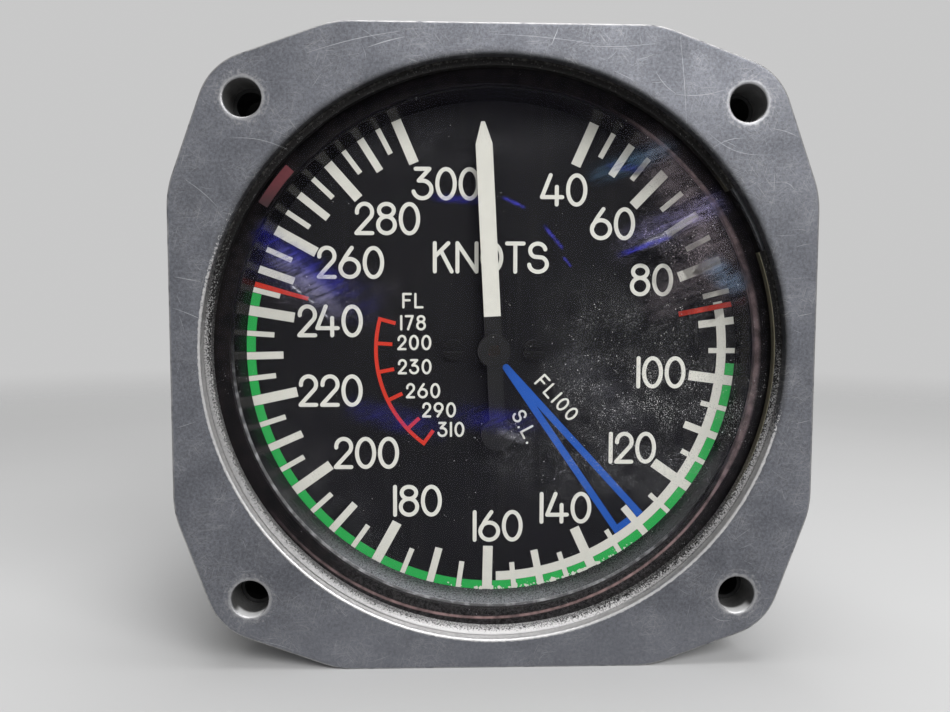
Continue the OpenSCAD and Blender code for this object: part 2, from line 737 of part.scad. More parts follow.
// Red lines and the red limit arc
module red_marks() {
    color(ink_red) {
        plate(ink_y) {
            red_low();
            rotate(-red_high_at)
                polygon([[-red_w / 2, mark_r - ink_gap], [red_w / 2, mark_r - ink_gap],
                    [red_tip_w / 2, red_inner], [-red_tip_w / 2, red_inner]]);
        }
        band(limit_r - limit_w / 2, limit_r + limit_w / 2, ink_y,
            limit_ends[0] - asin(limit_w / 2 / limit_r), limit_ends[1] + asin(limit_w / 2 / limit_r));
        plate(ink_y)
            for (a = limit_angles)
                mark(a, limit_r - limit_tick_len, limit_r, limit_w);
    }
}

// Blue lines, which meet near the axis and reach the white band
module blue_marks() {
    meet = clock_point(blue_inner, blue_meet_at);
    color([0.12, 0.33, 0.7])
        plate(ink_y)
            difference() {
                intersection() {
                    circle(r = white_r[0] - ink_gap);
                    union() {
                        translate(meet) circle(d = blue_w);
                        for (a = [blue_from, blue_to]) {
                            run = clock_point(white_r[1], a) - meet;
                            translate(meet)
                                rotate(atan2(run[1], run[0]))
                                    translate([0, -blue_w / 2]) square([norm(run), blue_w]);
                        }
                        difference() {
                            polygon([[0, 0], clock_point(mark_r, blue_from), clock_point(mark_r, blue_to)]);
                            circle(r = white_r[0] - blue_w);
                        }
                    }
                }
                tick_marks(ink_gap);
            }
}

// Outline of the pointer's blade beyond a distance from the axis
module blade_outline(from) {
    polygon([[-pointer_w / 2, from], [-pointer_w / 2, pointer_reach - pointer_taper],
        [-pointer_tip_w / 2, pointer_reach], [pointer_tip_w / 2, pointer_reach],
        [pointer_w / 2, pointer_reach - pointer_taper], [pointer_w / 2, from]]);
}

// Pointer with its tail
module pointer() {
    color([0.1, 0.1, 0.1])
        difference() {
            union() {
                plate(pointer_y) rotate(-pointer_rest) blade_outline(0);
                plate(pointer_y) mark(pointer_rest + 180, 0, tail_reach, tail_w);
                rod([0, 0], pointer_y, hub_d);
                rod(clock_point(-tail_reach, pointer_rest), pointer_y, tail_disc_d);
            }
            rod([0, 0], [pointer_y[0] - over, pointer_y[1] + over], hub_neck_d + 2 * fit_gap);
        }
}

// White paint on the pointer's blade
module pointer_paint() {
    color(ink_white)
        plate([pointer_y[0] - paint, pointer_y[0]]) rotate(-pointer_rest) blade_outline(paint_start);
}

// Hub that carries the pointer on the staff
module pointer_hub() {
    color([0.12, 0.12, 0.12])
        turned([[staff_d / 2 + fit_gap, hub_y[0]], [hub_d / 2, hub_y[0]], [hub_d / 2, pointer_y[0]],
            [hub_neck_d / 2, pointer_y[0]], [hub_neck_d / 2, hub_y[1]], [staff_d / 2 + fit_gap, hub_y[1]]]);
}

// Counterweight behind the tail's disc
module pointer_weight() {
    color([0.1, 0.1, 0.1])
        rod(clock_point(-tail_reach, pointer_rest), [pointer_y[1], pointer_y[1] + weight_thick],
            tail_disc_d);
}

// Hand staff with its pinion and rear pivot
module hand_staff() {
    color(steel) {
        turned([[0, hub_y[0] - staff_tip], [staff_d / 2, hub_y[0] - staff_tip],
            [staff_d / 2, rear_plate_y[0] - end_gap], [pivot_d / 2, rear_plate_y[0] - end_gap],
            [pivot_d / 2, rear_plate_y[1]], [0, rear_plate_y[1]]]);
        plate([sector_y[0] - pinion_over, sector_y[1] + pinion_over])
            polygon([for (i = [0:pinion_teeth - 1])
                each tooth_points(pinion_r, pinion_pitch, pinion_r - sector_addendum - tooth_foot_gap,
                    pinion_r + pinion_addendum, mesh_dir + 180 + (i + 0.5) * pinion_pitch)]);
    }
}

// Flat spiral spring between the collet and the stud
module hairspring() {
    steps = hairspring_turns * spiral_steps;
    start_r = collet_d / 2 + hairspring_t / 2 + fit_gap;
    // A point on one side of the strip, where the last step is at the stud
    function spiral(i, side) =
        clock_point(start_r + hairspring_pitch * i / spiral_steps + side * hairspring_t / 2,
            stud_at + 360 * (i - steps) / spiral_steps);
    color([0.6, 0.52, 0.35])
        plate(hairspring_y)
            polygon(concat([for (i = [0:steps]) spiral(i, 1)], [for (i = [steps:-1:0]) spiral(i, -1)]));
}

// Collet that holds the inner end of the hairspring
module hairspring_collet() {
    color(brass) ring(staff_d / 2 + fit_gap, collet_d / 2, collet_y);
}

// Stud that holds the outer end of the hairspring
module hairspring_stud() {
    end_r = collet_d / 2 + hairspring_t + 2 * fit_gap + hairspring_pitch * hairspring_turns;
    color(brass)
        rod(clock_point(end_r + stud_d / 2, stud_at), [front_plate_y[1], hairspring_y[1] + end_gap], stud_d);
}

// Blank of a movement plate, with its jewel and pillar holes
module plate_blank(y, centre_d, screw_hole_d) {
    difference() {
        ring(centre_d / 2 + fit_gap, plate_d / 2, y);
        rod(sector_at, [y[0] - over, y[1] + over], jewel_d + 2 * fit_gap);
        for (p = pillar_places)
            rod(p, [y[0] - over, y[1] + over], screw_hole_d);
    }
}

// Front plate of the movement, behind the dial
module front_plate() {
    color([0.7, 0.7, 0.7])
        difference() {
            plate_blank(front_plate_y, staff_jewel_d, pillar_hole_d);
            for (x = [-1, 1])
                rod([x * dial_screw_at, 0], [front_plate_y[0] - over, front_plate_y[1] + over],
                    dial_screw_hole_d);
        }
}

// Rear plate of the movement, with a window for the drive finger
module rear_plate() {
    window_w = finger_w + 4 * end_gap;
    window_h = 2 * (tail_pin_at * sin(sector_swing / 2) + finger_t);
    color([0.7, 0.7, 0.7])
        difference() {
            plate_blank(rear_plate_y, jewel_d, pillar_thread_d);
            translate([finger_x - window_w / 2, rear_plate_y[0] - over, rock_z - window_h / 2])
                cube([window_w, plate_thick + 2 * over, window_h]);
        }
}

// Three screws through the front plate into the pillars
module plate_screws() {
    color(steel)
        for (p = pillar_places)
            rear_pointing_screw(p, front_plate_y[0] - pillar_head_h, pillar_head_d, pillar_head_h,
                pillar_screw_d, plate_thick + pillar_screw_len);
}

// Two posts on the front plate, which the dial is screwed to
module dial_posts() {
    color(brass)
        for (x = [-1, 1])
            difference() {
                rod([x * dial_screw_at, 0], [dial_y[1], front_plate_y[0]], dial_post_d);
                rod([x * dial_screw_at, 0], [dial_y[1] - over, front_plate_y[0] + over], dial_screw_hole_d);
            }
}

// Three pillars between the plates, threaded at both ends
module front_pillars() {
    color(brass)
        for (p = pillar_places)
            difference() {
                rod(p, [front_plate_y[1], rear_plate_y[0]], front_pillar_d);
                rod(p, [front_plate_y[1] - over, front_plate_y[1] + pillar_screw_len + end_gap],
                    pillar_thread_d);
                rod(p, [stud_y[0] - end_gap, rear_plate_y[0] + over], pillar_thread_d);
            }
}

// Three pillars that carry the movement on the back of the case
module rear_pillars() {
    color(brass)
        for (p = pillar_places)
            difference() {
                union() {
                    rod(p, [rear_plate_y[1], back_in_y], rear_pillar_d);
                    rod(p, [stud_y[0], stud_y[1]], pillar_screw_d);
                }
                rod(p, [back_in_y - pillar_screw_len - end_gap, back_in_y + over], pillar_thread_d);
            }
}

// Jewel round the hand staff in the front plate
module staff_jewel() {
    color(ruby) ring(staff_d / 2 + run_gap, staff_jewel_d / 2, front_plate_y);
}

// Jewels of the three small pivots
module pivot_jewels() {
    color(ruby) {
        ring(pivot_d / 2 + run_gap, jewel_d / 2, rear_plate_y);
        translate([sector_at[0], 0, sector_at[1]])
            for (y = [front_plate_y, rear_plate_y])
                ring(pivot_d / 2 + run_gap, jewel_d / 2, y);
    }
}

// Toothed sector with its spokes, hub and tail
module sector_gear() {
    root_r = sector_r - pinion_addendum - tooth_foot_gap;
    rim_r = root_r - sector_rim;
    // The sides of the window between the spokes meet at this point
    window_apex = polar(spoke_w / sin((sector_edges[1] - sector_edges[0]) / 2),
        (sector_edges[0] + sector_edges[1]) / 2);
    color(brass)
        translate([sector_at[0], 0, sector_at[1]])
            difference() {
                union() {
                    plate(sector_y)
                        difference() {
                            union() {
                                polygon(concat([[0, 0]],
                                    [for (k = [sector_last:-1:-spare_teeth])
                                        each tooth_points(sector_r, sector_pitch, root_r,
                                            sector_r + sector_addendum, mesh_dir - k * sector_pitch)]));
                                rotate(tail_dir)
                                    translate([0, -sector_tail_w / 2]) square([tail_pin_at, sector_tail_w]);
                                translate(polar(tail_pin_at, tail_dir)) circle(d = sector_tail_w);
                            }
                            difference() {
                                intersection() {
                                    circle(r = rim_r);
                                    polygon([window_apex, window_apex + polar(2 * rim_r, sector_edges[0]),
                                        window_apex + polar(2 * rim_r, sector_edges[1])]);
                                }
                                circle(r = sector_hub_d);
                            }
                        }
                    rod([0, 0], [sector_y[0] - sector_hub_over, sector_y[1] + sector_hub_over],
                        sector_hub_d);
                }
                rod([0, 0], [sector_y[0] - sector_hub_over - over, sector_y[1] + sector_hub_over + over],
                    sector_staff_d + 2 * fit_gap);
                rod(drive_pin_at - sector_at, [sector_y[0] - over, sector_y[1] + over],
                    drive_pin_d + 2 * fit_gap);
            }
}

// Staff of the sector with its two pivots
module sector_staff() {
    color(steel)
        translate([sector_at[0], 0, sector_at[1]])
            turned([[0, front_plate_y[0]], [pivot_d / 2, front_plate_y[0]],
                [pivot_d / 2, front_plate_y[1] + end_gap], [sector_staff_d / 2, front_plate_y[1] + end_gap],
                [sector_staff_d / 2, rear_plate_y[0] - end_gap], [pivot_d / 2, rear_plate_y[0] - end_gap],
                [pivot_d / 2, rear_plate_y[1]], [0, rear_plate_y[1]]]);
}

// Pin on the sector's tail, which the drive finger pushes
module sector_pin() {
    color(steel) rod(drive_pin_at, [sector_y[0], drive_pin_y[1]], drive_pin_d);
}

// Two pins on the rear plate, which stop the sector
module sector_stops() {
    color(steel)
        for (a = stop_dirs)
            rod(sector_at + polar(stop_at, a), [sector_y[0], rear_plate_y[0]], stop_d);
}

// Shaft that turns the capsule's push into the sector's swing
module rocking_shaft() {
    color(steel)
        difference() {
            cross_rod(rock_x, rock_d);
            cross_rod([rock_x[0] - over, rock_x[0] + pivot_tip_len + end_gap], pivot_d + 2 * run_gap);
            cross_rod([rock_x[1] - pivot_tip_len - end_gap, rock_x[1] + over], pivot_d + 2 * run_gap);
        }
}

// Collar on the rocking shaft, with the piece that it carries, at the shaft's angle at rest
module on_shaft(x) {
    difference() {
        translate([x, rock_y, rock_z])
            rotate([-rock_swing / 2, 0, 0])
                union() {
                    rotate([0, 90, 0]) cylinder(h = finger_w, r = collar_r, center = true);
                    children();
                }
        cross_rod([x - finger_w / 2 - over, x + finger_w / 2 + over], rock_d + 2 * fit_gap);
    }
}

// Arm that the capsule's post pushes
module rocker_arm() {
    color(steel) on_shaft(0) cylinder(h = arm_lever / cos(rock_swing / 2) + arm_over, d = arm_d);
}

// Finger that pushes the sector's drive pin
module rocker_finger() {
    length = (rock_y - finger_tip_y) / cos(rock_swing / 2);
    color(steel)
        on_shaft(finger_x)
            translate([-finger_w / 2, -length, -finger_t / 2]) cube([finger_w, length, finger_t]);
}

// Two ears on the rear plate, which carry the rocking shaft
module rocker_bearings() {
    color([0.7, 0.7, 0.7])
        for (x = [rock_x[0] - end_gap - bearing_t, rock_x[1] + end_gap])
            difference() {
                union() {
                    cross_rod([x, x + bearing_t], bearing_w);
                    translate([x, rear_plate_y[1], rock_z - bearing_w / 2])
                        cube([bearing_t, rock_y - rear_plate_y[1], bearing_w]);
                }
                cross_rod([x - over, x + bearing_t + over], pivot_screw_d + 2 * fit_gap);
            }
}

// Two screws whose tips carry the ends of the rocking shaft
module pivot_screws() {
    length = bearing_t + pivot_screw_over;
    color(steel) {
        cross_rod([rock_x[0] - end_gap - length, rock_x[0] - end_gap], pivot_screw_d);
        cross_rod([rock_x[0] - end_gap, rock_x[0] + pivot_tip_len], pivot_d);
        cross_rod([rock_x[1] + end_gap, rock_x[1] + end_gap + length], pivot_screw_d);
        cross_rod([rock_x[1] - pivot_tip_len, rock_x[1] + end_gap], pivot_d);
    }
}

// Front half of the capsule, whose centre moves with the pressure
module capsule_front() {
    radii = capsule_radii(0);
    color([0.72, 0.55, 0.35])
        turned(concat([for (r = radii) [r, capsule_rim_y - capsule_rise(r) - capsule_sheet]],
            [for (i = [len(radii) - 1:-1:0])
                [radii[i], capsule_rim_y - capsule_rise(radii[i])]]));
}

// Rear half of the capsule, on its stem
module capsule_rear() {
    radii = capsule_radii(stem_nose_d / 2 + fit_gap);
    color([0.72, 0.55, 0.35])
        turned(concat([for (r = radii) [r, capsule_rim_y + capsule_rise(r)]],
            [for (i = [len(radii) - 1:-1:0])
                [radii[i], capsule_rim_y + capsule_rise(radii[i]) + capsule_sheet]]));
}

// Hollow stem that leads the pitot pressure into the capsule
module capsule_stem() {
    collar_y = stem_seat_y - stem_collar_t;
    color(brass)
        turned([[stem_bore_d / 2, collar_y - capsule_sheet], [stem_nose_d / 2, collar_y - capsule_sheet],
            [stem_nose_d / 2, collar_y], [stem_collar_d / 2, collar_y], [stem_collar_d / 2, stem_seat_y],
            [stem_d / 2, stem_seat_y], [stem_d / 2, boss_y - port_depth],
            [stem_bore_d / 2, boss_y - port_depth]]);
}

// Post on the capsule's centre, with a round end that meets the arm
module capsule_post() {
    foot_y = capsule_front_y - fit_gap;
    color(brass) {
        rod([0, 0], [foot_y - post_foot_t, foot_y], post_foot_d);
        rod([0, 0], [post_tip_y + post_d / 2, foot_y], post_d);
        translate([0, post_tip_y + post_d / 2, 0]) sphere(d = post_d);
    }
}

// Three screws through the back of the case into the pillars
module case_screws() {
    color(steel)
        for (p = pillar_places)
            mirror([0, 1, 0])
                rear_pointing_screw(p, -case_depth - pillar_head_h, pillar_head_d, pillar_head_h,
                    pillar_screw_d, back_wall + pillar_screw_len);
}

case();
retaining_ring();
cover_glass();
glass_gasket();
mask_ring();
paint_mark();
dial();
dial_screws();
white_marks();
green_band();
red_marks();
blue_marks();
pointer();
pointer_paint();
pointer_hub();
pointer_weight();
hand_staff();
hairspring();
hairspring_collet();
hairspring_stud();
front_plate();
rear_plate();
plate_screws();
dial_posts();
front_pillars();
rear_pillars();
staff_jewel();
pivot_jewels();
sector_gear();
sector_staff();
sector_pin();
sector_stops();
rocking_shaft();
rocker_arm();
rocker_finger();
rocker_bearings();
pivot_screws();
capsule_front();
capsule_rear();
capsule_stem();
capsule_post();
case_screws();
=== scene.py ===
"""Airspeed indicator: finishes, lettering, threads, wear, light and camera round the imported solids.

Lengths are in millimetres of the dial unless a name says otherwise, and MM turns them into metres.
Places on the dial are (x, z) from its axis: x to the reader's right, z up.
"""

import json
import math
import random
from functools import reduce

import bmesh
import bpy
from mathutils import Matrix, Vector

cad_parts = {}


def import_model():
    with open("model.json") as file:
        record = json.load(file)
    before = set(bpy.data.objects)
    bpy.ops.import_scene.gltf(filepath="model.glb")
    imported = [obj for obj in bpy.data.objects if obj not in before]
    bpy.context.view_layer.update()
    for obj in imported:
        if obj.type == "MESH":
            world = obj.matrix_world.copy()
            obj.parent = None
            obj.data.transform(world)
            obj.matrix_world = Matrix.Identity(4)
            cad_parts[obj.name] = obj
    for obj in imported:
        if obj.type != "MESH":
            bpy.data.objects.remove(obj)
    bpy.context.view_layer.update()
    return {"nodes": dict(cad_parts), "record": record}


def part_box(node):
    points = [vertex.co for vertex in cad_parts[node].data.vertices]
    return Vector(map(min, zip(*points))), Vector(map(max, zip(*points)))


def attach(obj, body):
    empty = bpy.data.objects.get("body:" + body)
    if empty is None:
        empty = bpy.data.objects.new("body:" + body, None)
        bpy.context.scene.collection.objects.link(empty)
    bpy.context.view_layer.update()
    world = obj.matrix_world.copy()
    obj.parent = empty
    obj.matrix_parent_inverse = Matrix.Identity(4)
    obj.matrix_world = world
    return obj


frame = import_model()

MM = 0.001
BODY = "case"

# Camera of the photograph; the photograph's width and the focal length are in pixels
PHOTO_W = 950
FOCAL_PIXELS = 768.0
CAMERA_AT = Vector((-5.91, -96.71, 5.97)) * MM
CAMERA_TURN_DEG = (86.29, -0.159, -1.857)
SENSOR_W = 36.0
CLIP_START = 5 * MM

# Depths and radii that the solids give, in metres
FACE_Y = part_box("case")[0].y
DIAL_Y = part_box("dial")[0].y
INK_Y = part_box("white_marks")[0].y
GLASS_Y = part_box("cover_glass")[0].y
RING_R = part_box("retaining_ring")[1].x
BACK_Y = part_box("case")[1].y
FLOOR_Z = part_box("case")[0].z
MOUNTS = {m["name"]: m for m in frame["record"]["mounts"]}
HOLE_AT = MOUNTS["panel_bolts"]["dims"]["spacing_x_mm"] / 2
HOLE_R = MOUNTS["panel_bolts"]["dims"]["hole_r_mm"]

# Depth at which the dial seems to lie behind the glass, in metres
SEEN_DIAL_Y = 8.17 * MM


# Shader graphs


class Graph:
    """The nodes of one material, with short calls for the kinds that are used here."""

    def __init__(self, name):
        self.material = bpy.data.materials.new(name)
        self.material.use_nodes = True
        self.tree = self.material.node_tree
        self.bsdf = self.tree.nodes["Principled BSDF"]
        self.output = self.tree.nodes["Material Output"]

    def put(self, socket, value):
        """Links a socket to the input, or sets the input's own value."""
        if isinstance(value, bpy.types.NodeSocket):
            self.tree.links.new(value, socket)
        else:
            socket.default_value = value

    def add(self, kind, inputs=None, **settings):
        """A new node, with its settings and its inputs by name or number."""
        made = self.tree.nodes.new("ShaderNode" + kind)
        for key, value in settings.items():
            setattr(made, key, value)
        for key, value in (inputs or {}).items():
            self.put(made.inputs[key], value)
        return made

    def math(self, operation, a, b=0.0):
        """The result of one operation on numbers or sockets."""
        return self.add("Math", {0: a, 1: b}, operation=operation).outputs[0]

    def plus(self, *values):
        """The sum of some numbers."""
        return reduce(lambda a, b: self.math("ADD", a, b), values)

    def times(self, *values):
        """The product of some numbers."""
        return reduce(lambda a, b: self.math("MULTIPLY", a, b), values)

    def most(self, *values):
        """The largest of some numbers."""
        return reduce(lambda a, b: self.math("MAXIMUM", a, b), values)

    def distance(self, a, b):
        """Length of a step that goes a along one axis and b along another."""
        return self.math("SQRT", self.plus(self.times(a, a), self.times(b, b)))

    def place(self):
        """Coordinates in the row frame, in metres, which ride with the piece."""
        return self.add("TexCoord").outputs["Object"]

    def axes(self):
        """The three coordinates, in millimetres."""
        split = self.add("SeparateXYZ", {0: self.place()})
        return [self.math("DIVIDE", split.outputs[i], MM) for i in range(3)]

    def radius(self):
        """Distance from the dial axis, in millimetres."""
        x, _, z = self.axes()
        return self.distance(x, z)

    def noise(self, size, detail=3.0, roughness=0.5):
        """Cloudy noise with features of a size in millimetres."""
        made = self.add("TexNoise", {"Vector": self.place(), "Scale": 1 / (size * MM)})
        made.inputs["Detail"].default_value = detail
        made.inputs["Roughness"].default_value = roughness
        return made.outputs["Fac"]

    def streaks(self, angle_deg, length, width):
        """Noise drawn out along one direction in the plane of the dial."""
        turn = (0.0, math.radians(angle_deg), 0.0)
        turned = self.add("Mapping", {"Vector": self.place(), "Rotation": turn})
        scale = (1 / (length * MM), 1 / (length * MM), 1 / (width * MM))
        drawn = self.add("Mapping", {"Vector": turned.outputs[0], "Scale": scale})
        made = self.add("TexNoise", {"Vector": drawn.outputs[0], "Scale": 1.0})
        made.inputs["Detail"].default_value = 2.0
        return made.outputs["Fac"]

    def toward(self, dx, dz, low, high):
        """0 to 1 by how near the way from the dial axis is to the direction dx, dz."""
        x, _, z = self.axes()
        along = self.plus(self.times(x, dx), self.times(z, dz))
        return self.step(self.math("DIVIDE", along, self.radius()), low, high)

    def step(self, value, low, high):
        """0 below low, 1 above high, and smooth between; low may be the higher one."""
        made = self.add("MapRange", {"Value": value}, interpolation_type="SMOOTHSTEP")
        made.inputs["From Min"].default_value = low
        made.inputs["From Max"].default_value = high
        return made.outputs[0]

    def mix(self, factor, a, b):
        """A colour between two colours."""
        return self.add("Mix", {0: factor, 6: a, 7: b}, data_type="RGBA").outputs[2]

    def between(self, factor, a, b):
        """A number between two numbers."""
        return self.add("Mix", {0: factor, 2: a, 3: b}, data_type="FLOAT").outputs[0]

    def bump(self, height, depth, normal=None):
        """A normal for relief of a depth in millimetres."""
        made = self.add("Bump", {"Height": height, "Distance": depth * MM})
        if normal is not None:
            self.put(made.inputs["Normal"], normal)
        return made.outputs[0]

    def surface(self, **values):
        """Sets the surface's inputs; names have _ for a space."""
        for key, value in values.items():
            self.put(self.bsdf.inputs[key.replace("_", " ")], value)
        return self.material


def grey(level):
    """An even grey, as a colour with alpha."""
    return (level, level, level, 1.0)


def inner_radius(node, before=math.inf):
    """Least distance of a solid from the dial axis, in front of a depth; both in millimetres."""
    spots = [v.co for v in frame["nodes"][node].data.vertices]
    return min(math.hypot(p.x, p.z) for p in spots if p.y < before * MM) / MM


# Finishes


def bare_specks(g, wear):
    """Bright specks in a dark coat: few where the wear is 0, and nearly all where it is 1."""
    return g.step(g.plus(g.noise(0.30, 4.0, 0.62), g.times(wear, 0.45)), 0.69, 0.80)


# Direction in degrees, length and width of the rows of fine scuffs on the coat
SCUFFS = ((4, 5.0, 0.08), (-52, 3.0, 0.08), (74, 5.0, 0.08), (-21, 3.0, 0.07), (33, 4.0, 0.07))
# Width of the scuff that a washer left round each panel hole
WASHER_MARK = 1.0
# Rounding of the edges, by shading alone
EDGE_ROUND = 0.5
# Coat in its hollows, on its grain, and where it is rubbed near the bottom
COAT_DARK = (0.046, 0.048, 0.055, 1)
COAT_LIGHT = (0.168, 0.174, 0.200, 1)
COAT_RUBBED = (0.205, 0.212, 0.238, 1)
RUBBED_FROM, RUBBED_TO = -28.0, -41.0
# Bare metal
METAL_DARK = (0.34, 0.34, 0.35, 1)
METAL_LIGHT = (0.68, 0.67, 0.66, 1)


def case_finish():
    """Dark grey coat on cast aluminium, mottled and scuffed, and bare at edges, hole mouths and rim; painted
    highlight and shade in the holes, painted shade round the opening.
    """
    g = Graph("case_finish")
    x, y, z = g.axes()
    r = g.radius()
    fine = g.noise(0.40, 6.0, 0.80)
    blotch = g.noise(2.6, 5.0, 0.65)
    cloud = g.noise(12.0, 5.0, 0.58)
    tone = g.plus(g.times(cloud, 0.24), g.times(blotch, 0.14), g.times(fine, 0.62))
    tone = g.step(tone, 0.30, 0.70)
    rubbed = g.times(g.step(z, RUBBED_FROM, RUBBED_TO), 0.32)
    coat = g.mix(rubbed, g.mix(tone, COAT_DARK, COAT_LIGHT), COAT_RUBBED)

    scuffs = 0.0
    for angle, length, width in SCUFFS:
        scuffs = g.most(scuffs, g.step(g.streaks(angle, length, width), 0.58, 0.74))
    scuffs = g.times(scuffs, g.step(g.noise(6.0, 4.0), 0.36, 0.64))

    rounded = g.add("Bevel", {"Radius": EDGE_ROUND * MM}, samples=8).outputs[0]
    flat = g.add("NewGeometry").outputs["Normal"]
    up = g.add("SeparateXYZ", {0: flat}).outputs[2]
    facing = g.add("VectorMath", {0: rounded, 1: flat}, operation="DOT_PRODUCT").outputs["Value"]
    off_rim = g.step(r, RING_R / MM + 1.0, RING_R / MM + 1.6)
    worn_edge = g.times(g.step(facing, 0.97, 0.86), g.step(g.noise(1.8, 4.0), 0.28, 0.50), off_rim)

    dx = g.math("SUBTRACT", g.math("ABSOLUTE", x), HOLE_AT)
    dz = g.math("SUBTRACT", g.math("ABSOLUTE", z), HOLE_AT)
    from_hole = g.distance(dx, dz)
    frayed = g.plus(from_hole, g.times(g.noise(0.7, 4.0), -0.9))
    worn_mouth = g.times(g.step(frayed, HOLE_R + 0.15, HOLE_R - 0.20), 0.40)
    wall = g.step(from_hole, HOLE_R + 0.12, HOLE_R + 0.06)
    # Painted highlight: hole walls near the front that face up are painted pale grey; further in, the hole
    # walls get painted shade.
    lit_wall = g.times(wall, g.step(up, 0.50, 0.80), g.step(y, 2.0, 1.2))
    shaded_hole_wall = g.times(wall, g.step(y, 0.15, 0.45))
    under_washer = g.step(from_hole, HOLE_R + WASHER_MARK + 0.10, HOLE_R + WASHER_MARK - 0.05)
    washer = g.times(under_washer, g.step(g.noise(0.45, 5.0, 0.7), 0.44, 0.66))

    rim_r = inner_radius("case", 1.0)
    frayed_r = g.plus(r, g.times(g.noise(0.6, 5.0), -0.35))
    below = g.toward(-0.42, -0.91, -0.35, 0.55)
    rim_wear = g.most(below, g.toward(0.60, -0.80, 0.65, 0.90))
    rim_edge = g.times(g.step(frayed_r, rim_r + 0.22, rim_r + 0.06), g.step(y, 1.9, 1.5))
    rim = g.times(rim_edge, bare_specks(g, rim_wear))

    # Real wear, and the painted highlight on the hole walls.
    bare = g.most(worn_edge, worn_mouth, lit_wall, rim)
    light = g.most(bare, g.times(scuffs, 0.34), g.times(washer, 0.26))
    # Painted shade: a dark band round the opening that fades out towards the lower left, and the deep hole
    # walls.
    shade = g.times(g.step(r, rim_r + 1.0, rim_r - 0.1), g.between(below, 0.65, 0.0))
    shaded = g.mix(g.most(shade, shaded_hole_wall), coat, grey(0.012))
    metal = g.mix(g.noise(0.5, 4.0), METAL_DARK, METAL_LIGHT)
    return g.surface(
        Base_Color=g.mix(lit_wall, g.mix(light, shaded, metal), grey(0.80)),
        Metallic=g.times(g.between(bare, 0.5, 1.0), g.between(lit_wall, 1.0, 0.1)),
        Roughness=g.between(bare, g.between(tone, 0.48, 0.38), 0.36),
        Normal=g.bump(fine, 0.014, rounded),
    )


def ring_finish():
    """Blackened spring steel, worn bright at the bottom, with a painted highlight along its inner rim on the
    right.
    """
    g = Graph("ring_steel")
    r = g.radius()
    inner = inner_radius("retaining_ring")
    outside = g.step(r, inner + 0.05, inner + 0.90)
    speckled = g.times(g.toward(0.62, -0.78, 0.45, 0.90), 0.62)
    wear = g.most(g.toward(-0.55, -0.835, 0.05, 0.90), speckled)
    wear = g.times(wear, g.between(outside, 0.50, 1.0))
    bare = g.step(g.plus(g.noise(0.18, 3.0, 0.6), g.times(wear, 0.55)), 0.60, 0.92)
    # Painted highlight: a thin pale olive line along the inner rim on the right side.
    edge_glint = g.times(g.step(r, inner + 0.12, inner + 0.06), g.toward(0.99, 0.05, 0.78, 0.96))
    bottom = g.toward(0.10, -0.99, 0.84, 0.97)
    bright = g.mix(g.noise(0.4, 4.0), METAL_DARK, (0.66, 0.65, 0.64, 1))
    bright = g.mix(bottom, bright, (0.72, 0.71, 0.71, 1))
    line = g.step(g.math("ABSOLUTE", g.math("SUBTRACT", r, inner + 0.85)), 0.30, 0.10)
    line = g.times(line, g.step(g.noise(0.4, 4.0, 0.6), 0.40, 0.70))
    dark = g.mix(line, (0.006, 0.0055, 0.0055, 1), (0.060, 0.058, 0.055, 1))
    worn = g.mix(bare, dark, bright)
    return g.surface(
        Base_Color=g.mix(edge_glint, worn, (0.15, 0.14, 0.10, 1)),
        Metallic=g.most(g.times(bare, g.between(bottom, 1.0, 0.35)), edge_glint),
        Roughness=g.between(bare, 0.55, 0.34),
        Normal=g.bump(g.noise(0.3, 4.0), 0.02),
        Specular_IOR_Level=0.12,
    )


def staff_finish():
    """Steel arbor with its front end blackened like the hub."""
    g = Graph("staff_steel")
    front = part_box("hand_staff")[0].y / MM
    black = g.step(g.axes()[1], front + 2.2, front + 1.8)
    marks = g.streaks(35, 2.0, 0.08)
    return g.surface(
        Base_Color=g.mix(black, g.mix(marks, grey(0.42), grey(0.62)), (0.014, 0.012, 0.010, 1)),
        Metallic=g.between(black, 1.0, 0.0),
        Roughness=g.between(black, 0.28, 0.55),
        Normal=g.bump(marks, 0.01),
        Specular_IOR_Level=0.10,
    )


def turned_metal(name, dark, light, roughness, tarnish=0.0):
    """Bare machined metal with fine marks, and some dull stains."""
    g = Graph(name)
    marks = g.streaks(35, 2.0, 0.08)
    stain = g.step(g.noise(2.5, 5.0, 0.6), 0.45, 0.70)
    colour = g.mix(marks, dark, light)
    dull = g.mix(g.times(stain, tarnish), colour, grey(0.05))
    return g.surface(
        Base_Color=dull,
        Metallic=1.0,
        Roughness=g.between(stain, roughness, roughness + 0.18),
        Normal=g.bump(marks, 0.01),
    )


# Middle and radius of the seam on the gasket
SEAM_AT = (-0.75, -0.35)
SEAM_R = 35.5


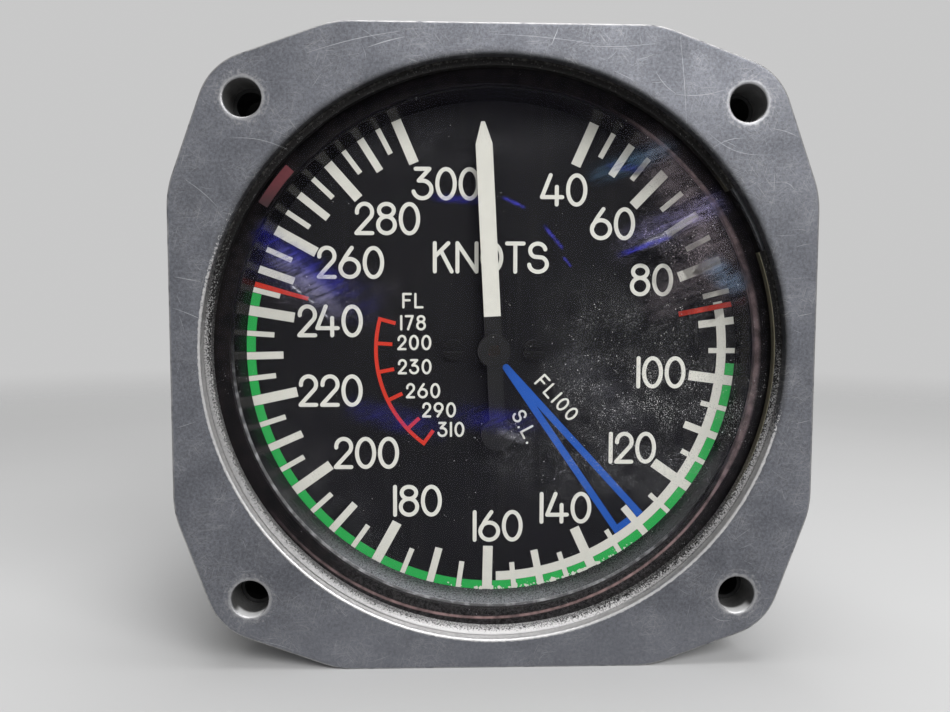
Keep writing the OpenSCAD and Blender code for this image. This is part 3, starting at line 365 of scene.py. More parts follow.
def gasket_rubber():
    """Black rubber, dusty at the bottom, with a pinkish seam off the middle, broad on the right, painted
    paler at the bottom as a highlight.
    """
    g = Graph("gasket_rubber")
    x, _, z = g.axes()
    bloom = g.step(g.noise(1.6, 5.0, 0.6), 0.32, 0.68)
    sx = g.math("SUBTRACT", x, SEAM_AT[0])
    sz = g.math("SUBTRACT", z, SEAM_AT[1])
    from_seam = g.distance(sx, sz)
    off = g.math("ABSOLUTE", g.math("SUBTRACT", from_seam, SEAM_R))
    wide = g.between(g.toward(1.0, 0.1, 0.76, 0.98), 0.21, 0.68)
    seam = g.step(g.math("DIVIDE", off, wide), 1.25, 0.35)
    shown = g.most(g.toward(0.45, -0.89, 0.05, 0.65), g.toward(1.0, 0.1, 0.45, 0.80))
    seam = g.times(seam, shown)
    pink = g.times(seam, g.between(bloom, 0.35, 1.0))
    rubber = g.mix(bloom, (0.0052, 0.005, 0.0052, 1), (0.0145, 0.0115, 0.012, 1))
    bottom = g.toward(0.10, -0.99, 0.55, 0.95)
    dust = g.times(bottom, g.step(g.noise(0.45, 4.0, 0.6), 0.30, 0.85))
    rubber = g.mix(dust, rubber, (0.072, 0.070, 0.069, 1))
    # Painted highlight: the seam's pink is painted paler towards the bottom.
    seam_pink_painted_paler_below = g.mix(bottom, (0.225, 0.162, 0.166, 1), (0.40, 0.26, 0.25, 1))
    return g.surface(
        Base_Color=g.mix(pink, rubber, seam_pink_painted_paler_below),
        Roughness=0.55,
        Normal=g.bump(bloom, 0.02),
        Specular_IOR_Level=0.15,
    )


def mask_finish():
    """Gloss black, which mirrors the scale, with dust where the wall faces up, and pale dust with a painted
    highlight along the front rim towards the lower left.
    """
    g = Graph("mask_black")
    front, back = (corner.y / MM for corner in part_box("mask_ring"))
    y = g.axes()[1]
    normal = g.add("NewGeometry").outputs["Normal"]
    up = g.add("SeparateXYZ", {0: normal}).outputs[2]
    specks = g.noise(0.18, 3.0, 0.6)
    dust = g.times(g.step(up, 0.30, 0.85), g.step(specks, 0.24, 0.68))
    dust = g.times(dust, g.between(g.step(y, back - 0.4, front + 0.4), 0.30, 1.0))
    # Dust and painted highlight: a pale line along the front rim, towards the lower left.
    lip_dust_and_glint = g.times(g.step(y, front + 0.16, front + 0.06), g.toward(-0.35, -0.94, 0.25, 0.75))
    lip_dust_and_glint = g.times(lip_dust_and_glint, g.between(g.step(g.noise(1.2, 4.0), 0.40, 0.70), 0.30, 1.0))
    rounded = g.add("Bevel", {"Radius": 0.12 * MM}, samples=6).outputs[0]
    bottom = g.toward(-0.20, -0.98, 0.80, 0.98)
    pale = g.mix(bottom, (0.115, 0.117, 0.121, 1), (0.30, 0.31, 0.33, 1))
    dusty = g.mix(dust, grey(0.008), pale)
    return g.surface(
        Base_Color=g.mix(lip_dust_and_glint, dusty, (0.42, 0.42, 0.43, 1)),
        Roughness=g.between(g.most(dust, lip_dust_and_glint), 0.16, 0.60),
        Normal=g.bump(g.noise(0.8, 3.0), 0.003, rounded),
        Specular_IOR_Level=0.14,
    )


def gloss_black(name, level, roughness, specular=0.30):
    """Black paint with slight unevenness and a little dust in it."""
    g = Graph(name)
    specks = g.step(g.noise(0.22, 2.0, 0.4), 0.74, 0.80)
    return g.surface(
        Base_Color=g.mix(specks, grey(level), grey(level + 0.06)),
        Roughness=g.between(g.noise(3.0), roughness * 0.8, roughness * 1.3),
        Normal=g.bump(g.noise(0.8, 3.0), 0.004),
        Specular_IOR_Level=specular,
    )


def dial_black():
    """Matt black paint with faint upright brush marks."""
    g = Graph("dial_black")
    brush = g.streaks(90, 14.0, 0.5)
    cloud = g.noise(9.0, 4.0)
    tone = g.times(g.step(brush, 0.40, 0.75), g.step(cloud, 0.35, 0.70))
    return g.surface(
        Base_Color=g.mix(tone, (0.0075, 0.0075, 0.0080, 1), (0.0125, 0.0122, 0.0122, 1)),
        Roughness=g.between(cloud, 0.62, 0.75),
        Normal=g.bump(brush, 0.006),
        Specular_IOR_Level=0.08,
    )


def printed(name, colour):
    """Screen-printed ink, slightly uneven."""
    g = Graph(name)
    uneven = g.noise(0.9, 4.0, 0.6)
    thin = tuple(c * 0.86 for c in colour) + (1.0,)
    return g.surface(
        Base_Color=g.mix(uneven, thin, colour + (1.0,)),
        Roughness=0.58,
        Normal=g.bump(g.noise(0.12, 2.0), 0.004),
        Specular_IOR_Level=0.3,
    )


def mark_paint():
    """Dull red paint, worn thin towards the lower end of the mark."""
    g = Graph("mark_red")
    low, high = (corner.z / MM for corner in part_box("paint_mark"))
    kept = g.step(g.axes()[2], low - 0.5, low + 0.75 * (high - low))
    uneven = g.times(kept, g.between(g.noise(0.5, 4.0), 0.55, 1.15))
    return g.surface(
        Base_Color=g.mix(uneven, (0.020, 0.008, 0.010, 1), (0.105, 0.018, 0.024, 1)),
        Roughness=0.58,
        Normal=g.bump(g.noise(0.12, 2.0), 0.004),
        Specular_IOR_Level=0.3,
    )


def window_glass():
    """Coated glass, which lets lamps through to the dial."""
    g = Graph("window_glass")
    g.surface(
        Base_Color=(0.98, 0.98, 0.98, 1),
        Roughness=0.0,
        IOR=1.5,
        Transmission_Weight=1.0,
        Specular_Tint=(0.060, 0.055, 0.090, 1),
    )
    path = g.add("LightPath")
    unlit = g.most(path.outputs["Is Shadow Ray"], path.outputs["Is Diffuse Ray"])
    clear = g.add("BsdfTransparent", {"Color": (0.95, 0.95, 0.95, 1)})
    both = g.add("MixShader", {0: unlit, 1: g.bsdf.outputs[0], 2: clear.outputs[0]})
    g.put(g.output.inputs["Surface"], both.outputs[0])
    return g.material


def grease_and_reflection_film():
    """Greasy film on the glass, with painted reflections in its tint; the mesh gives its tint, and how dense
    it is.
    """
    g = Graph("grease_and_reflection_film")
    tint = g.add("Attribute", attribute_name="tint").outputs["Color"]
    dense = g.add("Attribute", attribute_name="dense").outputs["Fac"]
    patchy = g.step(g.noise(1.3, 6.0, 0.68), 0.30, 0.72)
    wiped = g.step(g.streaks(24, 5.0, 0.35), 0.30, 0.70)
    cover = g.times(dense, g.between(0.55, patchy, wiped))
    return g.surface(
        Base_Color=tint,
        Roughness=1.0,
        Specular_IOR_Level=0.0,
        Alpha=cover,
    )


def dust_and_reflection_film():
    """Fine dust in loose clouds on the glass, some tinted with painted reflections; the mesh gives its tint,
    and how dense it is.
    """
    g = Graph("dust_and_reflection_film")
    tint = g.add("Attribute", attribute_name="tint").outputs["Color"]
    dense = g.add("Attribute", attribute_name="dense").outputs["Fac"]
    grains = g.step(g.noise(0.13, 2.0, 0.5), 0.55, 0.72)
    clouds = g.step(g.noise(3.4, 4.0, 0.60), 0.36, 0.62)
    return g.surface(
        Base_Color=tint,
        Roughness=1.0,
        Specular_IOR_Level=0.0,
        Alpha=g.times(grains, clouds, dense),
    )


def dust_flecks():
    """Pale flakes of dust."""
    g = Graph("dust_flecks")
    tone = g.noise(0.5, 2.0)
    return g.surface(
        Base_Color=g.mix(tone, (0.22, 0.22, 0.22, 1), (0.66, 0.65, 0.64, 1)),
        Roughness=0.9,
        Specular_IOR_Level=0.1,
    )


def scuff_metal():
    """Metal that shows in a scratch."""
    g = Graph("scuff_metal")
    tone = g.noise(0.6, 3.0)
    return g.surface(
        Base_Color=g.mix(tone, (0.20, 0.205, 0.22, 1), (0.42, 0.43, 0.45, 1)),
        Metallic=0.6,
        Roughness=0.42,
    )


def ruby():
    """Red jewel of a bearing."""
    g = Graph("jewel")
    cloud = g.noise(0.6, 3.0)
    return g.surface(
        Base_Color=g.mix(cloud, (0.42, 0.008, 0.045, 1), (0.62, 0.02, 0.09, 1)),
        Roughness=0.08,
        IOR=1.76,
        Coat_Weight=0.4,
    )


# Distances in metres between which the floor fades away
FLOOR_FADE = (0.12, 0.55)


def floor_finish():
    """Pale grey, which fades into the background away from the object."""
    g = Graph("floor_finish")
    tone = g.noise(90.0, 3.0)
    away = g.add("VectorMath", {0: g.place()}, operation="LENGTH").outputs["Value"]
    return g.surface(
        Base_Color=g.mix(tone, grey(0.50), grey(0.54)),
        Roughness=0.85,
        Specular_IOR_Level=0.2,
        Alpha=g.step(away, FLOOR_FADE[1], FLOOR_FADE[0]),
    )


brass = turned_metal("brass", (0.50, 0.34, 0.13, 1), (0.72, 0.54, 0.24, 1), 0.30, 0.25)
bronze = turned_metal("spring_bronze", (0.46, 0.28, 0.13, 1), (0.68, 0.46, 0.24, 1), 0.26, 0.15)
steel = turned_metal("steel", (0.40, 0.40, 0.42, 1), (0.62, 0.62, 0.64, 1), 0.28, 0.10)
aluminium = turned_metal("plate_metal", (0.52, 0.52, 0.53, 1), (0.72, 0.72, 0.73, 1), 0.36, 0.08)
black_steel = gloss_black("black_steel", 0.010, 0.38)
white = printed("ink_white", (0.72, 0.71, 0.645))
letter_white = printed("ink_letters", (0.77, 0.765, 0.70))
jewel = ruby()
case_coat = case_finish()
painted = gloss_black("black_metal", 0.0105, 0.50, 0.14)

FINISHES = {
    "case": case_coat,
    "retaining_ring": ring_finish(),
    "cover_glass": window_glass(),
    "glass_gasket": gasket_rubber(),
    "mask_ring": mask_finish(),
    "paint_mark": mark_paint(),
    "dial": dial_black(),
    "dial_screws": gloss_black("dial_screw_black", 0.004, 0.45, 0.12),
    "white_marks": white,
    "green_band": printed("ink_green", (0.020, 0.41, 0.080)),
    "red_marks": printed("ink_red", (0.60, 0.030, 0.009)),
    "blue_marks": printed("ink_blue", (0.007, 0.088, 0.44)),
    "pointer": painted,
    "pointer_paint": white,
    "pointer_hub": painted,
    "pointer_weight": painted,
    "hand_staff": staff_finish(),
    "hairspring": bronze,
    "capsule_front": bronze,
    "capsule_rear": bronze,
    "front_plate": aluminium,
    "rear_plate": aluminium,
    "rocker_bearings": aluminium,
    "staff_jewel": jewel,
    "pivot_jewels": jewel,
}
for names, finish in (
    (("hairspring_collet", "hairspring_stud", "dial_posts", "front_pillars", "rear_pillars",
      "sector_gear", "capsule_stem", "capsule_post"), brass),
    (("plate_screws", "sector_staff", "sector_pin", "sector_stops", "rocking_shaft",
      "rocker_arm", "rocker_finger", "pivot_screws", "case_screws"), steel),
):
    FINISHES.update({name: finish for name in names})

SMOOTH_BELOW_DEG = 28
for name, solid in frame["nodes"].items():
    solid.data.materials.clear()
    solid.data.materials.append(FINISHES[name])
    solid.data.shade_smooth()
    solid.data.set_sharp_from_angle(angle=math.radians(SMOOTH_BELOW_DEG))


# Meshes


def piece(name, bm, finish):
    """A new object from a bmesh, which rides on the case."""
    mesh = bpy.data.meshes.new(name)
    bm.to_mesh(mesh)
    bm.free()
    mesh.materials.append(finish)
    made = bpy.data.objects.new(name, mesh)
    bpy.context.scene.collection.objects.link(made)
    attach(made, BODY)
    return made


def bridge(bm, loops):
    """Four-sided faces between closed loops that have as many points."""
    for a, b in zip(loops, loops[1:]):
        for i in range(len(a)):
            j = (i + 1) % len(a)
            bm.faces.new((a[i], a[j], b[j], b[i]))


def thicken(bm, faces, depth):
    """Closes flat faces into a solid of a depth, in metres, towards +Y."""
    made = bmesh.ops.extrude_face_region(bm, geom=faces)
    moved = [v for v in made["geom"] if isinstance(v, bmesh.types.BMVert)]
    bmesh.ops.translate(bm, verts=moved, vec=(0, depth, 0))


def on_glass(x, z):
    """The point on the front of the glass that hides a point of the dial, from the camera."""
    seen = Vector((x * MM, SEEN_DIAL_Y, z * MM))
    share = (GLASS_Y - CAMERA_AT.y) / (SEEN_DIAL_Y - CAMERA_AT.y)
    return CAMERA_AT + (seen - CAMERA_AT) * share


# Lettering, drawn with round-ended strokes

# Points on the round end of a stroke, and degrees between points on an arc
CAP_STEPS = 8
ARC_STEP_DEG = 9
# How far the letters stand over the other print, and each stroke over the one before
LETTER_PROUD = 0.010
STROKE_STEP = 0.003
# Pairs of letters that stand closer, as a share of the height
KERNS = {"24": -0.11}


def arc(cx, cz, rx, rz, start, end):
    """Points on an elliptical arc, in degrees anticlockwise from +x."""
    steps = max(2, round(abs(end - start) / ARC_STEP_DEG))
    angles = [math.radians(start + (end - start) * i / steps) for i in range(steps + 1)]
    return [(cx + rx * math.cos(a), cz + rz * math.sin(a)) for a in angles]


def bar(*points):
    """Straight strokes from point to point."""
    return [list(pair) for pair in zip(points, points[1:])]


RING = [arc(0.5, 0.5, 0.5, 0.5, 0, 360)]
# Each glyph is its width for a height of 1, and strokes in a box from 0 to 1 both ways
GLYPHS = {
    "0": (0.65, RING),
    "1": (0.0, bar((0, 0), (0, 1))),
    "2": (0.60, [arc(0.52, 0.72, 0.48, 0.28, 185, -38) + [(0.02, 0.02)], [(0.0, 0.0), (1.0, 0.0)]]),
    "3": (0.64, bar((0.08, 1), (0.88, 1), (0.26, 0.60))
          + [[(0.26, 0.60)] + arc(0.47, 0.30, 0.53, 0.30, 88, -166)]),
    "4": (0.74, bar((0.42, 1), (0.0, 0.25), (1.0, 0.25)) + bar((0.73, 0.60), (0.73, 0))),
    "6": (0.68, [arc(0.5, 0.31, 0.5, 0.31, 0, 360), [(0.62, 1), (0.30, 0.71), (0.12, 0.51), (0.03, 0.38)]]),
    "7": (0.58, bar((0, 1), (1, 1), (0.32, 0))),
    "8": (0.63, [arc(0.5, 0.785, 0.44, 0.215, 0, 360), arc(0.5, 0.285, 0.5, 0.285, 0, 360)]),
    "9": (0.66, [arc(0.5, 0.69, 0.5, 0.31, 0, 360), [(0.38, 0), (0.70, 0.29), (0.88, 0.49), (0.97, 0.62)]]),
    "F": (0.62, bar((0, 0), (0, 1), (1, 1)) + bar((0, 0.53), (0.84, 0.53))),
    "K": (0.65, bar((0, 0), (0, 1)) + bar((0.80, 1), (0.0, 0.52)) + bar((0.36, 0.73), (1, 0))),
    "L": (0.60, bar((0, 1), (0, 0), (1, 0))),
    "N": (0.72, bar((0, 0), (0, 1), (1, 0), (1, 1))),
    "O": (0.72, RING),
    "S": (0.68, [arc(0.48, 0.755, 0.43, 0.245, 10, 245) + arc(0.5, 0.27, 0.5, 0.27, 62, -176)]),
    "T": (0.64, bar((0, 1), (1, 1)) + bar((0.5, 1), (0.5, 0))),
    ".": (0.0, bar((0, 0), (0, 0.03))),
}


def side_points(points, half, closed):
    """The points to the left and right of a stroke's middle line."""
    left, right = [], []
    count = len(points)
    for i, p in enumerate(points):
        before = points[(i - 1) % count] if closed or i > 0 else p
        after = points[(i + 1) % count] if closed or i < count - 1 else p
        along = (after - before).normalized()
        across = Vector((-along.y, along.x)) * half
        left.append(p + across)
        right.append(p - across)
    return left, right


def draw_stroke(bm, points, half, to_dial, lift):
    """Flat faces for one stroke; it is a ring if its ends meet."""
    closed = (points[0] - points[-1]).length < half * 0.01
    if closed:
        points = points[:-1]
    left, right = side_points(points, half, closed)
    rows = [[bm.verts.new(to_dial(p, lift)) for p in pair] for pair in zip(left, right)]
    faces = []
    pairs = zip(rows, rows[1:] + rows[:1]) if closed else zip(rows, rows[1:])
    for (a, b), (c, d) in pairs:
        faces.append(bm.faces.new((a, b, d, c)))
    if not closed:
        for end, rim, away in ((points[0], rows[0], points[1]), (points[-1], rows[-1], points[-2])):
            out = (end - away).normalized() * half
            side = Vector((-out.y, out.x))
            turns = [math.pi * (i / CAP_STEPS - 0.5) for i in range(1, CAP_STEPS)]
            spots = [end + out * math.cos(t) + side * math.sin(t) for t in turns]
            tips = [bm.verts.new(to_dial(p, lift)) for p in spots]
            first, last = (rim[1], rim[0]) if end is points[-1] else (rim[0], rim[1])
            faces.append(bm.faces.new([first, *tips, last]))
    return faces


def write_text(bm, text, corner, height, stroke, gap, turn_deg=0.0):
    """Draws text from its lower left corner, and returns the faces."""
    turn = math.radians(turn_deg)
    along = Vector((math.cos(turn), math.sin(turn)))
    up = Vector((-along.y, along.x))
    start = Vector(corner)

    def to_dial(p, lift):
        spot = start + along * p.x + up * p.y
        return (spot.x * MM, INK_Y - (LETTER_PROUD + lift) * MM, spot.y * MM)

    faces = []
    x = 0.0
    for before, letter in zip(" " + text, text):
        width, strokes = GLYPHS[letter]
        room = max(0.0, width * height - stroke)
        x += KERNS.get(before + letter, 0.0) * height
        for layer, line in enumerate(strokes):
            points = [Vector((x + stroke / 2 + px * room, stroke / 2 + pz * (height - stroke)))
                      for px, pz in line]
            faces += draw_stroke(bm, points, stroke / 2, to_dial, layer * STROKE_STEP)
        x += room + stroke + gap * height
    return faces


def lettering(name, labels, height, stroke, gap):
    """One piece of lettering from labels; the gap between letters is a share of the height."""
    bm = bmesh.new()
    faces = []
    for text, corner, *turn in labels:
        faces += write_text(bm, text, corner, height, stroke, gap, *turn)
    thicken(bm, faces, DIAL_Y - INK_Y + (LETTER_PROUD + STROKE_STEP) * MM)
    bmesh.ops.recalc_face_normals(bm, faces=bm.faces)
    return piece(name, bm, letter_white)


# Labels with their lower left corners, and the turn in degrees of the slanted ones
SCALE_NUMBERS = [
    ("300", (-11.0, 20.2)), ("280", (-18.8, 15.5)), ("260", (-23.9, 9.6)), ("240", (-26.6, 1.7)),
    ("220", (-26.55, -7.8)), ("200", (-21.85, -16.4)), ("180", (-13.75, -23.1)), ("160", (-2.75, -26.7)),
    ("140", (6.55, -24.2)), ("120", (16.1, -15.8)), ("100", (19.8, -5.3)), ("80", (18.7, 7.4)),
    ("60", (13.1, 15.0)), ("40", (6.25, 19.5)),
]
LEVEL_LABELS = [
    ("FL", (-12.4, 5.65)), ("178", (-12.7, 2.65)), ("200", (-13.1, -0.05)), ("230", (-13.05, -3.35)),
    ("260", (-11.95, -6.65)), ("290", (-9.75, -9.3)), ("310", (-7.6, -12.0)),
]
LINE_LABELS = [("FL100", (5.6, -4.6), -47.5), ("S.L.", (2.45, -9.0), -61.4)]
lettering("scale_numbers", SCALE_NUMBERS, height=4.45, stroke=0.54, gap=0.055)
lettering("knots_word", [("KNOTS", (-8.25, 10.4))], height=4.35, stroke=0.54, gap=0.055)
lettering("level_labels", LEVEL_LABELS, height=2.1, stroke=0.31, gap=0.155)
lettering("line_labels", LINE_LABELS, height=2.05, stroke=0.28, gap=0.23)


# Threads in the two ports

THREAD_PITCH = 25.4 / 27
THREAD_DEPTH = 0.52
THREAD_STEPS = 48
# Start of the thread inside the mouth, and half its width, as shares of the pitch
THREAD_START = 0.6
THREAD_HALF = 0.45
# How far the foot of the thread reaches into the wall
THREAD_SINK = 0.02


def port_thread(name, mount):
    """A helical ridge on the wall of a port."""
    r = mount["dims"]["r_mm"]
    x0 = mount["pos_m"][0] / MM
    end = BACK_Y / MM
    turns = mount["dims"]["length_mm"] / THREAD_PITCH - 1
    half = THREAD_PITCH * THREAD_HALF
    bm = bmesh.new()
    rows = []
    for i in range(round(turns * THREAD_STEPS) + 1):
        angle = math.tau * i / THREAD_STEPS
        y = end - THREAD_PITCH * (THREAD_START + i / THREAD_STEPS)
        profile = ((r + THREAD_SINK, y - half), (r - THREAD_DEPTH, y), (r + THREAD_SINK, y + half))
        rows.append([bm.verts.new(((x0 + s * math.cos(angle)) * MM, d * MM, s * math.sin(angle) * MM))
                     for s, d in profile])
    bridge(bm, rows)
    bm.faces.new(rows[0])
    bm.faces.new(rows[-1][::-1])
    bmesh.ops.recalc_face_normals(bm, faces=bm.faces)
    return piece(name, bm, aluminium)


port_thread("pitot_thread", MOUNTS["pitot_port"])
port_thread("static_thread", MOUNTS["static_port"])


# Closed nuts behind the flange, which the panel screws run into

# Depth of the back of the flange
FLANGE_BACK = 4.76
NUT_ACROSS = 7.6
NUT_LONG = 6.5
NUT_SIDES = 36
NUT_BORE_R = 1.85
NUT_BORE_DEEP = 4.6
NUT_HEX_LONG = 3.4
# Distance behind the flange and radius, from the bottom of the bore to the tip; the hexagon has None
NUT_PROFILE = (
    (NUT_BORE_DEEP, 0.0), (NUT_BORE_DEEP, NUT_BORE_R), (0.0, NUT_BORE_R), (0.0, None), (NUT_HEX_LONG, None),
    (3.9, NUT_ACROSS / 2 - 0.25), (5.6, 2.7), (NUT_LONG, 1.3), (NUT_LONG, 0.0),
)
# Radius of the loop that stands for a point, and the distance below which its corners are joined
NUT_POINT_R = 0.001
NUT_JOIN = 0.01


def hex_reach(angle, across):
    """Distance from the middle of a hexagon to its side."""
    return across / 2 / math.cos((angle + math.pi / 6) % (math.pi / 3) - math.pi / 6)


def anchor_nuts(name):
    """One hexagonal nut with a closed, domed end behind each panel hole."""
    bm = bmesh.new()
    turns = [math.tau * i / NUT_SIDES for i in range(NUT_SIDES)]
    for sx in (-1, 1):
        for sz in (-1, 1):
            loops = []
            for depth, r in NUT_PROFILE:
                loop = []
                for turn in turns:
                    reach = hex_reach(turn, NUT_ACROSS) if r is None else max(r, NUT_POINT_R)
                    x = sx * HOLE_AT + reach * math.cos(turn)
                    z = sz * HOLE_AT + reach * math.sin(turn)
                    loop.append(bm.verts.new((x * MM, (FLANGE_BACK + depth) * MM, z * MM)))
                loops.append(loop)
            bridge(bm, loops)
    bmesh.ops.remove_doubles(bm, verts=bm.verts, dist=NUT_JOIN * MM)
    bmesh.ops.recalc_face_normals(bm, faces=bm.faces)
    return piece(name, bm, black_steel)


anchor_nuts("anchor_nuts")


# Dust on the window and crumbs on the dial

# Size of the smallest flakes, what the largest have beyond it, and how rare those are
FLAKE_LEAST = 0.012
FLAKE_SPAN = 0.042
FLAKE_RARITY = 6
# Corners of a flake, its length for a width of 1, and how uneven its corners are
FLAKE_SIDES = 5
FLAKE_LONG = (1.0, 1.8)
FLAKE_UNEVEN = (0.7, 1.2)


def flake(bm, spot, draw, scale):
    """One flat flake with uneven corners."""
    size = scale * (FLAKE_LEAST + FLAKE_SPAN * draw.random() ** FLAKE_RARITY)
    turn = draw.uniform(0, math.tau)
    long = draw.uniform(*FLAKE_LONG)
    verts = []
    for i in range(FLAKE_SIDES):
        a = math.tau * i / FLAKE_SIDES
        s = size * draw.uniform(*FLAKE_UNEVEN)
        dx, dz = s * long * math.cos(a), s * math.sin(a)
        x = spot.x + (dx * math.cos(turn) - dz * math.sin(turn)) * MM
        z = spot.z + (dx * math.sin(turn) + dz * math.cos(turn)) * MM
        verts.append(bm.verts.new((x, spot.y, z)))
    bm.faces.new(verts)


# Height and thickness of the dust flakes, and how far inside the ring they end
FLECK_H = 0.02
FLECK_THICK = 0.018
FLECK_EDGE = 0.3
# Least and most flakes in a clump, and how far they spread in it
CLUMP = (2, 9)
CLUMP_LOOSE = (0.2, 1.5)
# Clusters of clumps: x and z on the dial, spread and count
DUST = [
    (0, 0, 17, 60), (11, -3, 3.4, 40), (17, -8, 4.0, 36), (23.5, 3, 3.0, 40), (26, 9, 2.4, 26),
    (28, 17, 3.0, 30), (23, 15, 2.0, 16), (3, -11.6, 1.0, 22), (13, -13, 2.6, 16), (8, -17, 3.0, 14),
    (-27, 8, 3.0, 12), (-14, -12, 8, 20), (-5, 26, 6, 12), (22, -22, 4, 20), (0, -30, 6, 20),
    (15, 3, 3.0, 20), (30, -5, 2.0, 12), (33, -12, 1.8, 14), (34.5, 0, 1.4, 12), (29, -20, 1.8, 12),
    (-25, -25, 2.4, 14), (-34, -5, 1.4, 10), (18, 29, 2.0, 8), (37.2, -5, 0.9, 14), (36.4, -12, 0.9, 14),
    (37.3, 3, 0.9, 10), (34.5, 15, 1.0, 12), (24, -9, 5.0, 50), (18, 0, 5.0, 40),
]


def flecks(name, clusters, finish, seed):
    """Small irregular flakes on the glass, in clusters of clumps."""
    draw = random.Random(seed)
    bm = bmesh.new()
    lift = Vector((0, FLECK_H * MM, 0))
    reach = (inner_radius("retaining_ring") - FLECK_EDGE) * MM
    for x, z, spread, count in clusters:
        for _ in range(count):
            cx, cz, loose = draw.gauss(x, spread), draw.gauss(z, spread), draw.uniform(*CLUMP_LOOSE)
            for _ in range(draw.randint(*CLUMP)):
                spot = on_glass(draw.gauss(cx, loose), draw.gauss(cz, loose)) - lift
                if math.hypot(spot.x, spot.z) < reach:
                    flake(bm, spot, draw, 1.0)
    thicken(bm, list(bm.faces), FLECK_THICK * MM)
    bmesh.ops.recalc_face_normals(bm, faces=bm.faces)
    return piece(name, bm, finish)


# Radius of the outermost crumbs, inside the mask ring, and how far the others spread from it
CRUMB_R = inner_radius("mask_ring") - 0.12
CRUMB_SPREAD = 0.12
# Least, most and likeliest clock angle of the crumbs
CRUMB_CLOCK = (138, 196, 160)
# Their size beside a dust flake's, and their thickness
CRUMB_SCALE = 7.0
CRUMB_THICK = 0.05
# How far the first crumb stands over the print, and each one over the crumb before
CRUMB_PROUD = 0.010
CRUMB_STEP = 0.0004


def chips(name, finish, count, seed):
    """Pale crumbs on the dial at the foot of the mask ring, at the bottom."""
    draw = random.Random(seed)
    bm = bmesh.new()
    for i in range(count):
        clock = math.radians(draw.triangular(*CRUMB_CLOCK))
        r = CRUMB_R - abs(draw.gauss(0, CRUMB_SPREAD))
        y = INK_Y - (CRUMB_PROUD + i * CRUMB_STEP) * MM
        spot = Vector((r * math.sin(clock) * MM, y, r * math.cos(clock) * MM))
        flake(bm, spot, draw, CRUMB_SCALE)
    thicken(bm, list(bm.faces), CRUMB_THICK * MM)
    bmesh.ops.recalc_face_normals(bm, faces=bm.faces)
    return piece(name, bm, finish)


flecks("glass_dust", DUST, dust_flecks(), seed=11)
chips("dial_crumbs", white, count=120, seed=3)


# Films on the window

# Height of the lowest film over the glass, and of each over the one before
SMEAR_LIFT = 0.004
SMEAR_STEP = 0.0006
# Steps of a film's mesh along it and across it
SMEAR_LONG = 24
SMEAR_WIDE = 16
# Width over which a film thins out towards the ring, and the gap that it leaves there
SMEAR_FADE = 2.0
SMEAR_EDGE = 0.1
# Share of its length that a film reaches past each end, and share of its width that it fills
SMEAR_PAST = 0.15
SMEAR_FILL = 0.9
# Power by which a film thins out towards its ends
SMEAR_END = 0.8


def film_patches(name, patches, finish):
    """Soft-edged patches on the glass: start, end, width, density and tint of each."""
    bm = bmesh.new()
    tint = bm.verts.layers.float_color.new("tint")
    dense = bm.verts.layers.float.new("dense")
    reach = (inner_radius("retaining_ring") - SMEAR_EDGE) * MM
    for layer, (start, end, width, density, colour) in enumerate(patches):
        a, b = on_glass(*start), on_glass(*end)
        along = b - a
        across = Vector((-along.z, 0, along.x)).normalized() * width * MM * SMEAR_FILL
        lift = Vector((0, -(SMEAR_LIFT + layer * SMEAR_STEP) * MM, 0))
        grid = []
        for i in range(SMEAR_LONG + 1):
            u = i / SMEAR_LONG
            middle = a + along * ((1 + 2 * SMEAR_PAST) * u - SMEAR_PAST) + lift
            ends = math.sin(math.pi * u) ** SMEAR_END
            row = []
            for j in range(SMEAR_WIDE + 1):
                v = 2 * j / SMEAR_WIDE - 1
                spot = middle + across * v
                out = math.hypot(spot.x, spot.z)
                if out > reach:
                    spot.x *= reach / out
                    spot.z *= reach / out
                vert = bm.verts.new(spot)
                sides = math.cos(math.pi / 2 * v) ** 2
                rim = min(1.0, max(0.0, (reach - out) / (SMEAR_FADE * MM)))
                vert[dense] = density * ends * sides * rim
                vert[tint] = (*colour, 1.0)
                row.append((vert, out < reach))
            grid.append(row)
        for r0, r1 in zip(grid, grid[1:]):
            for j in range(SMEAR_WIDE):
                corners = (r0[j], r0[j + 1], r1[j + 1], r1[j])
                if any(inside for _, inside in corners):
                    bm.faces.new([vert for vert, _ in corners])
    bmesh.ops.delete(bm, geom=[v for v in bm.verts if not v.link_faces], context="VERTS")
    return piece(name, bm, finish)
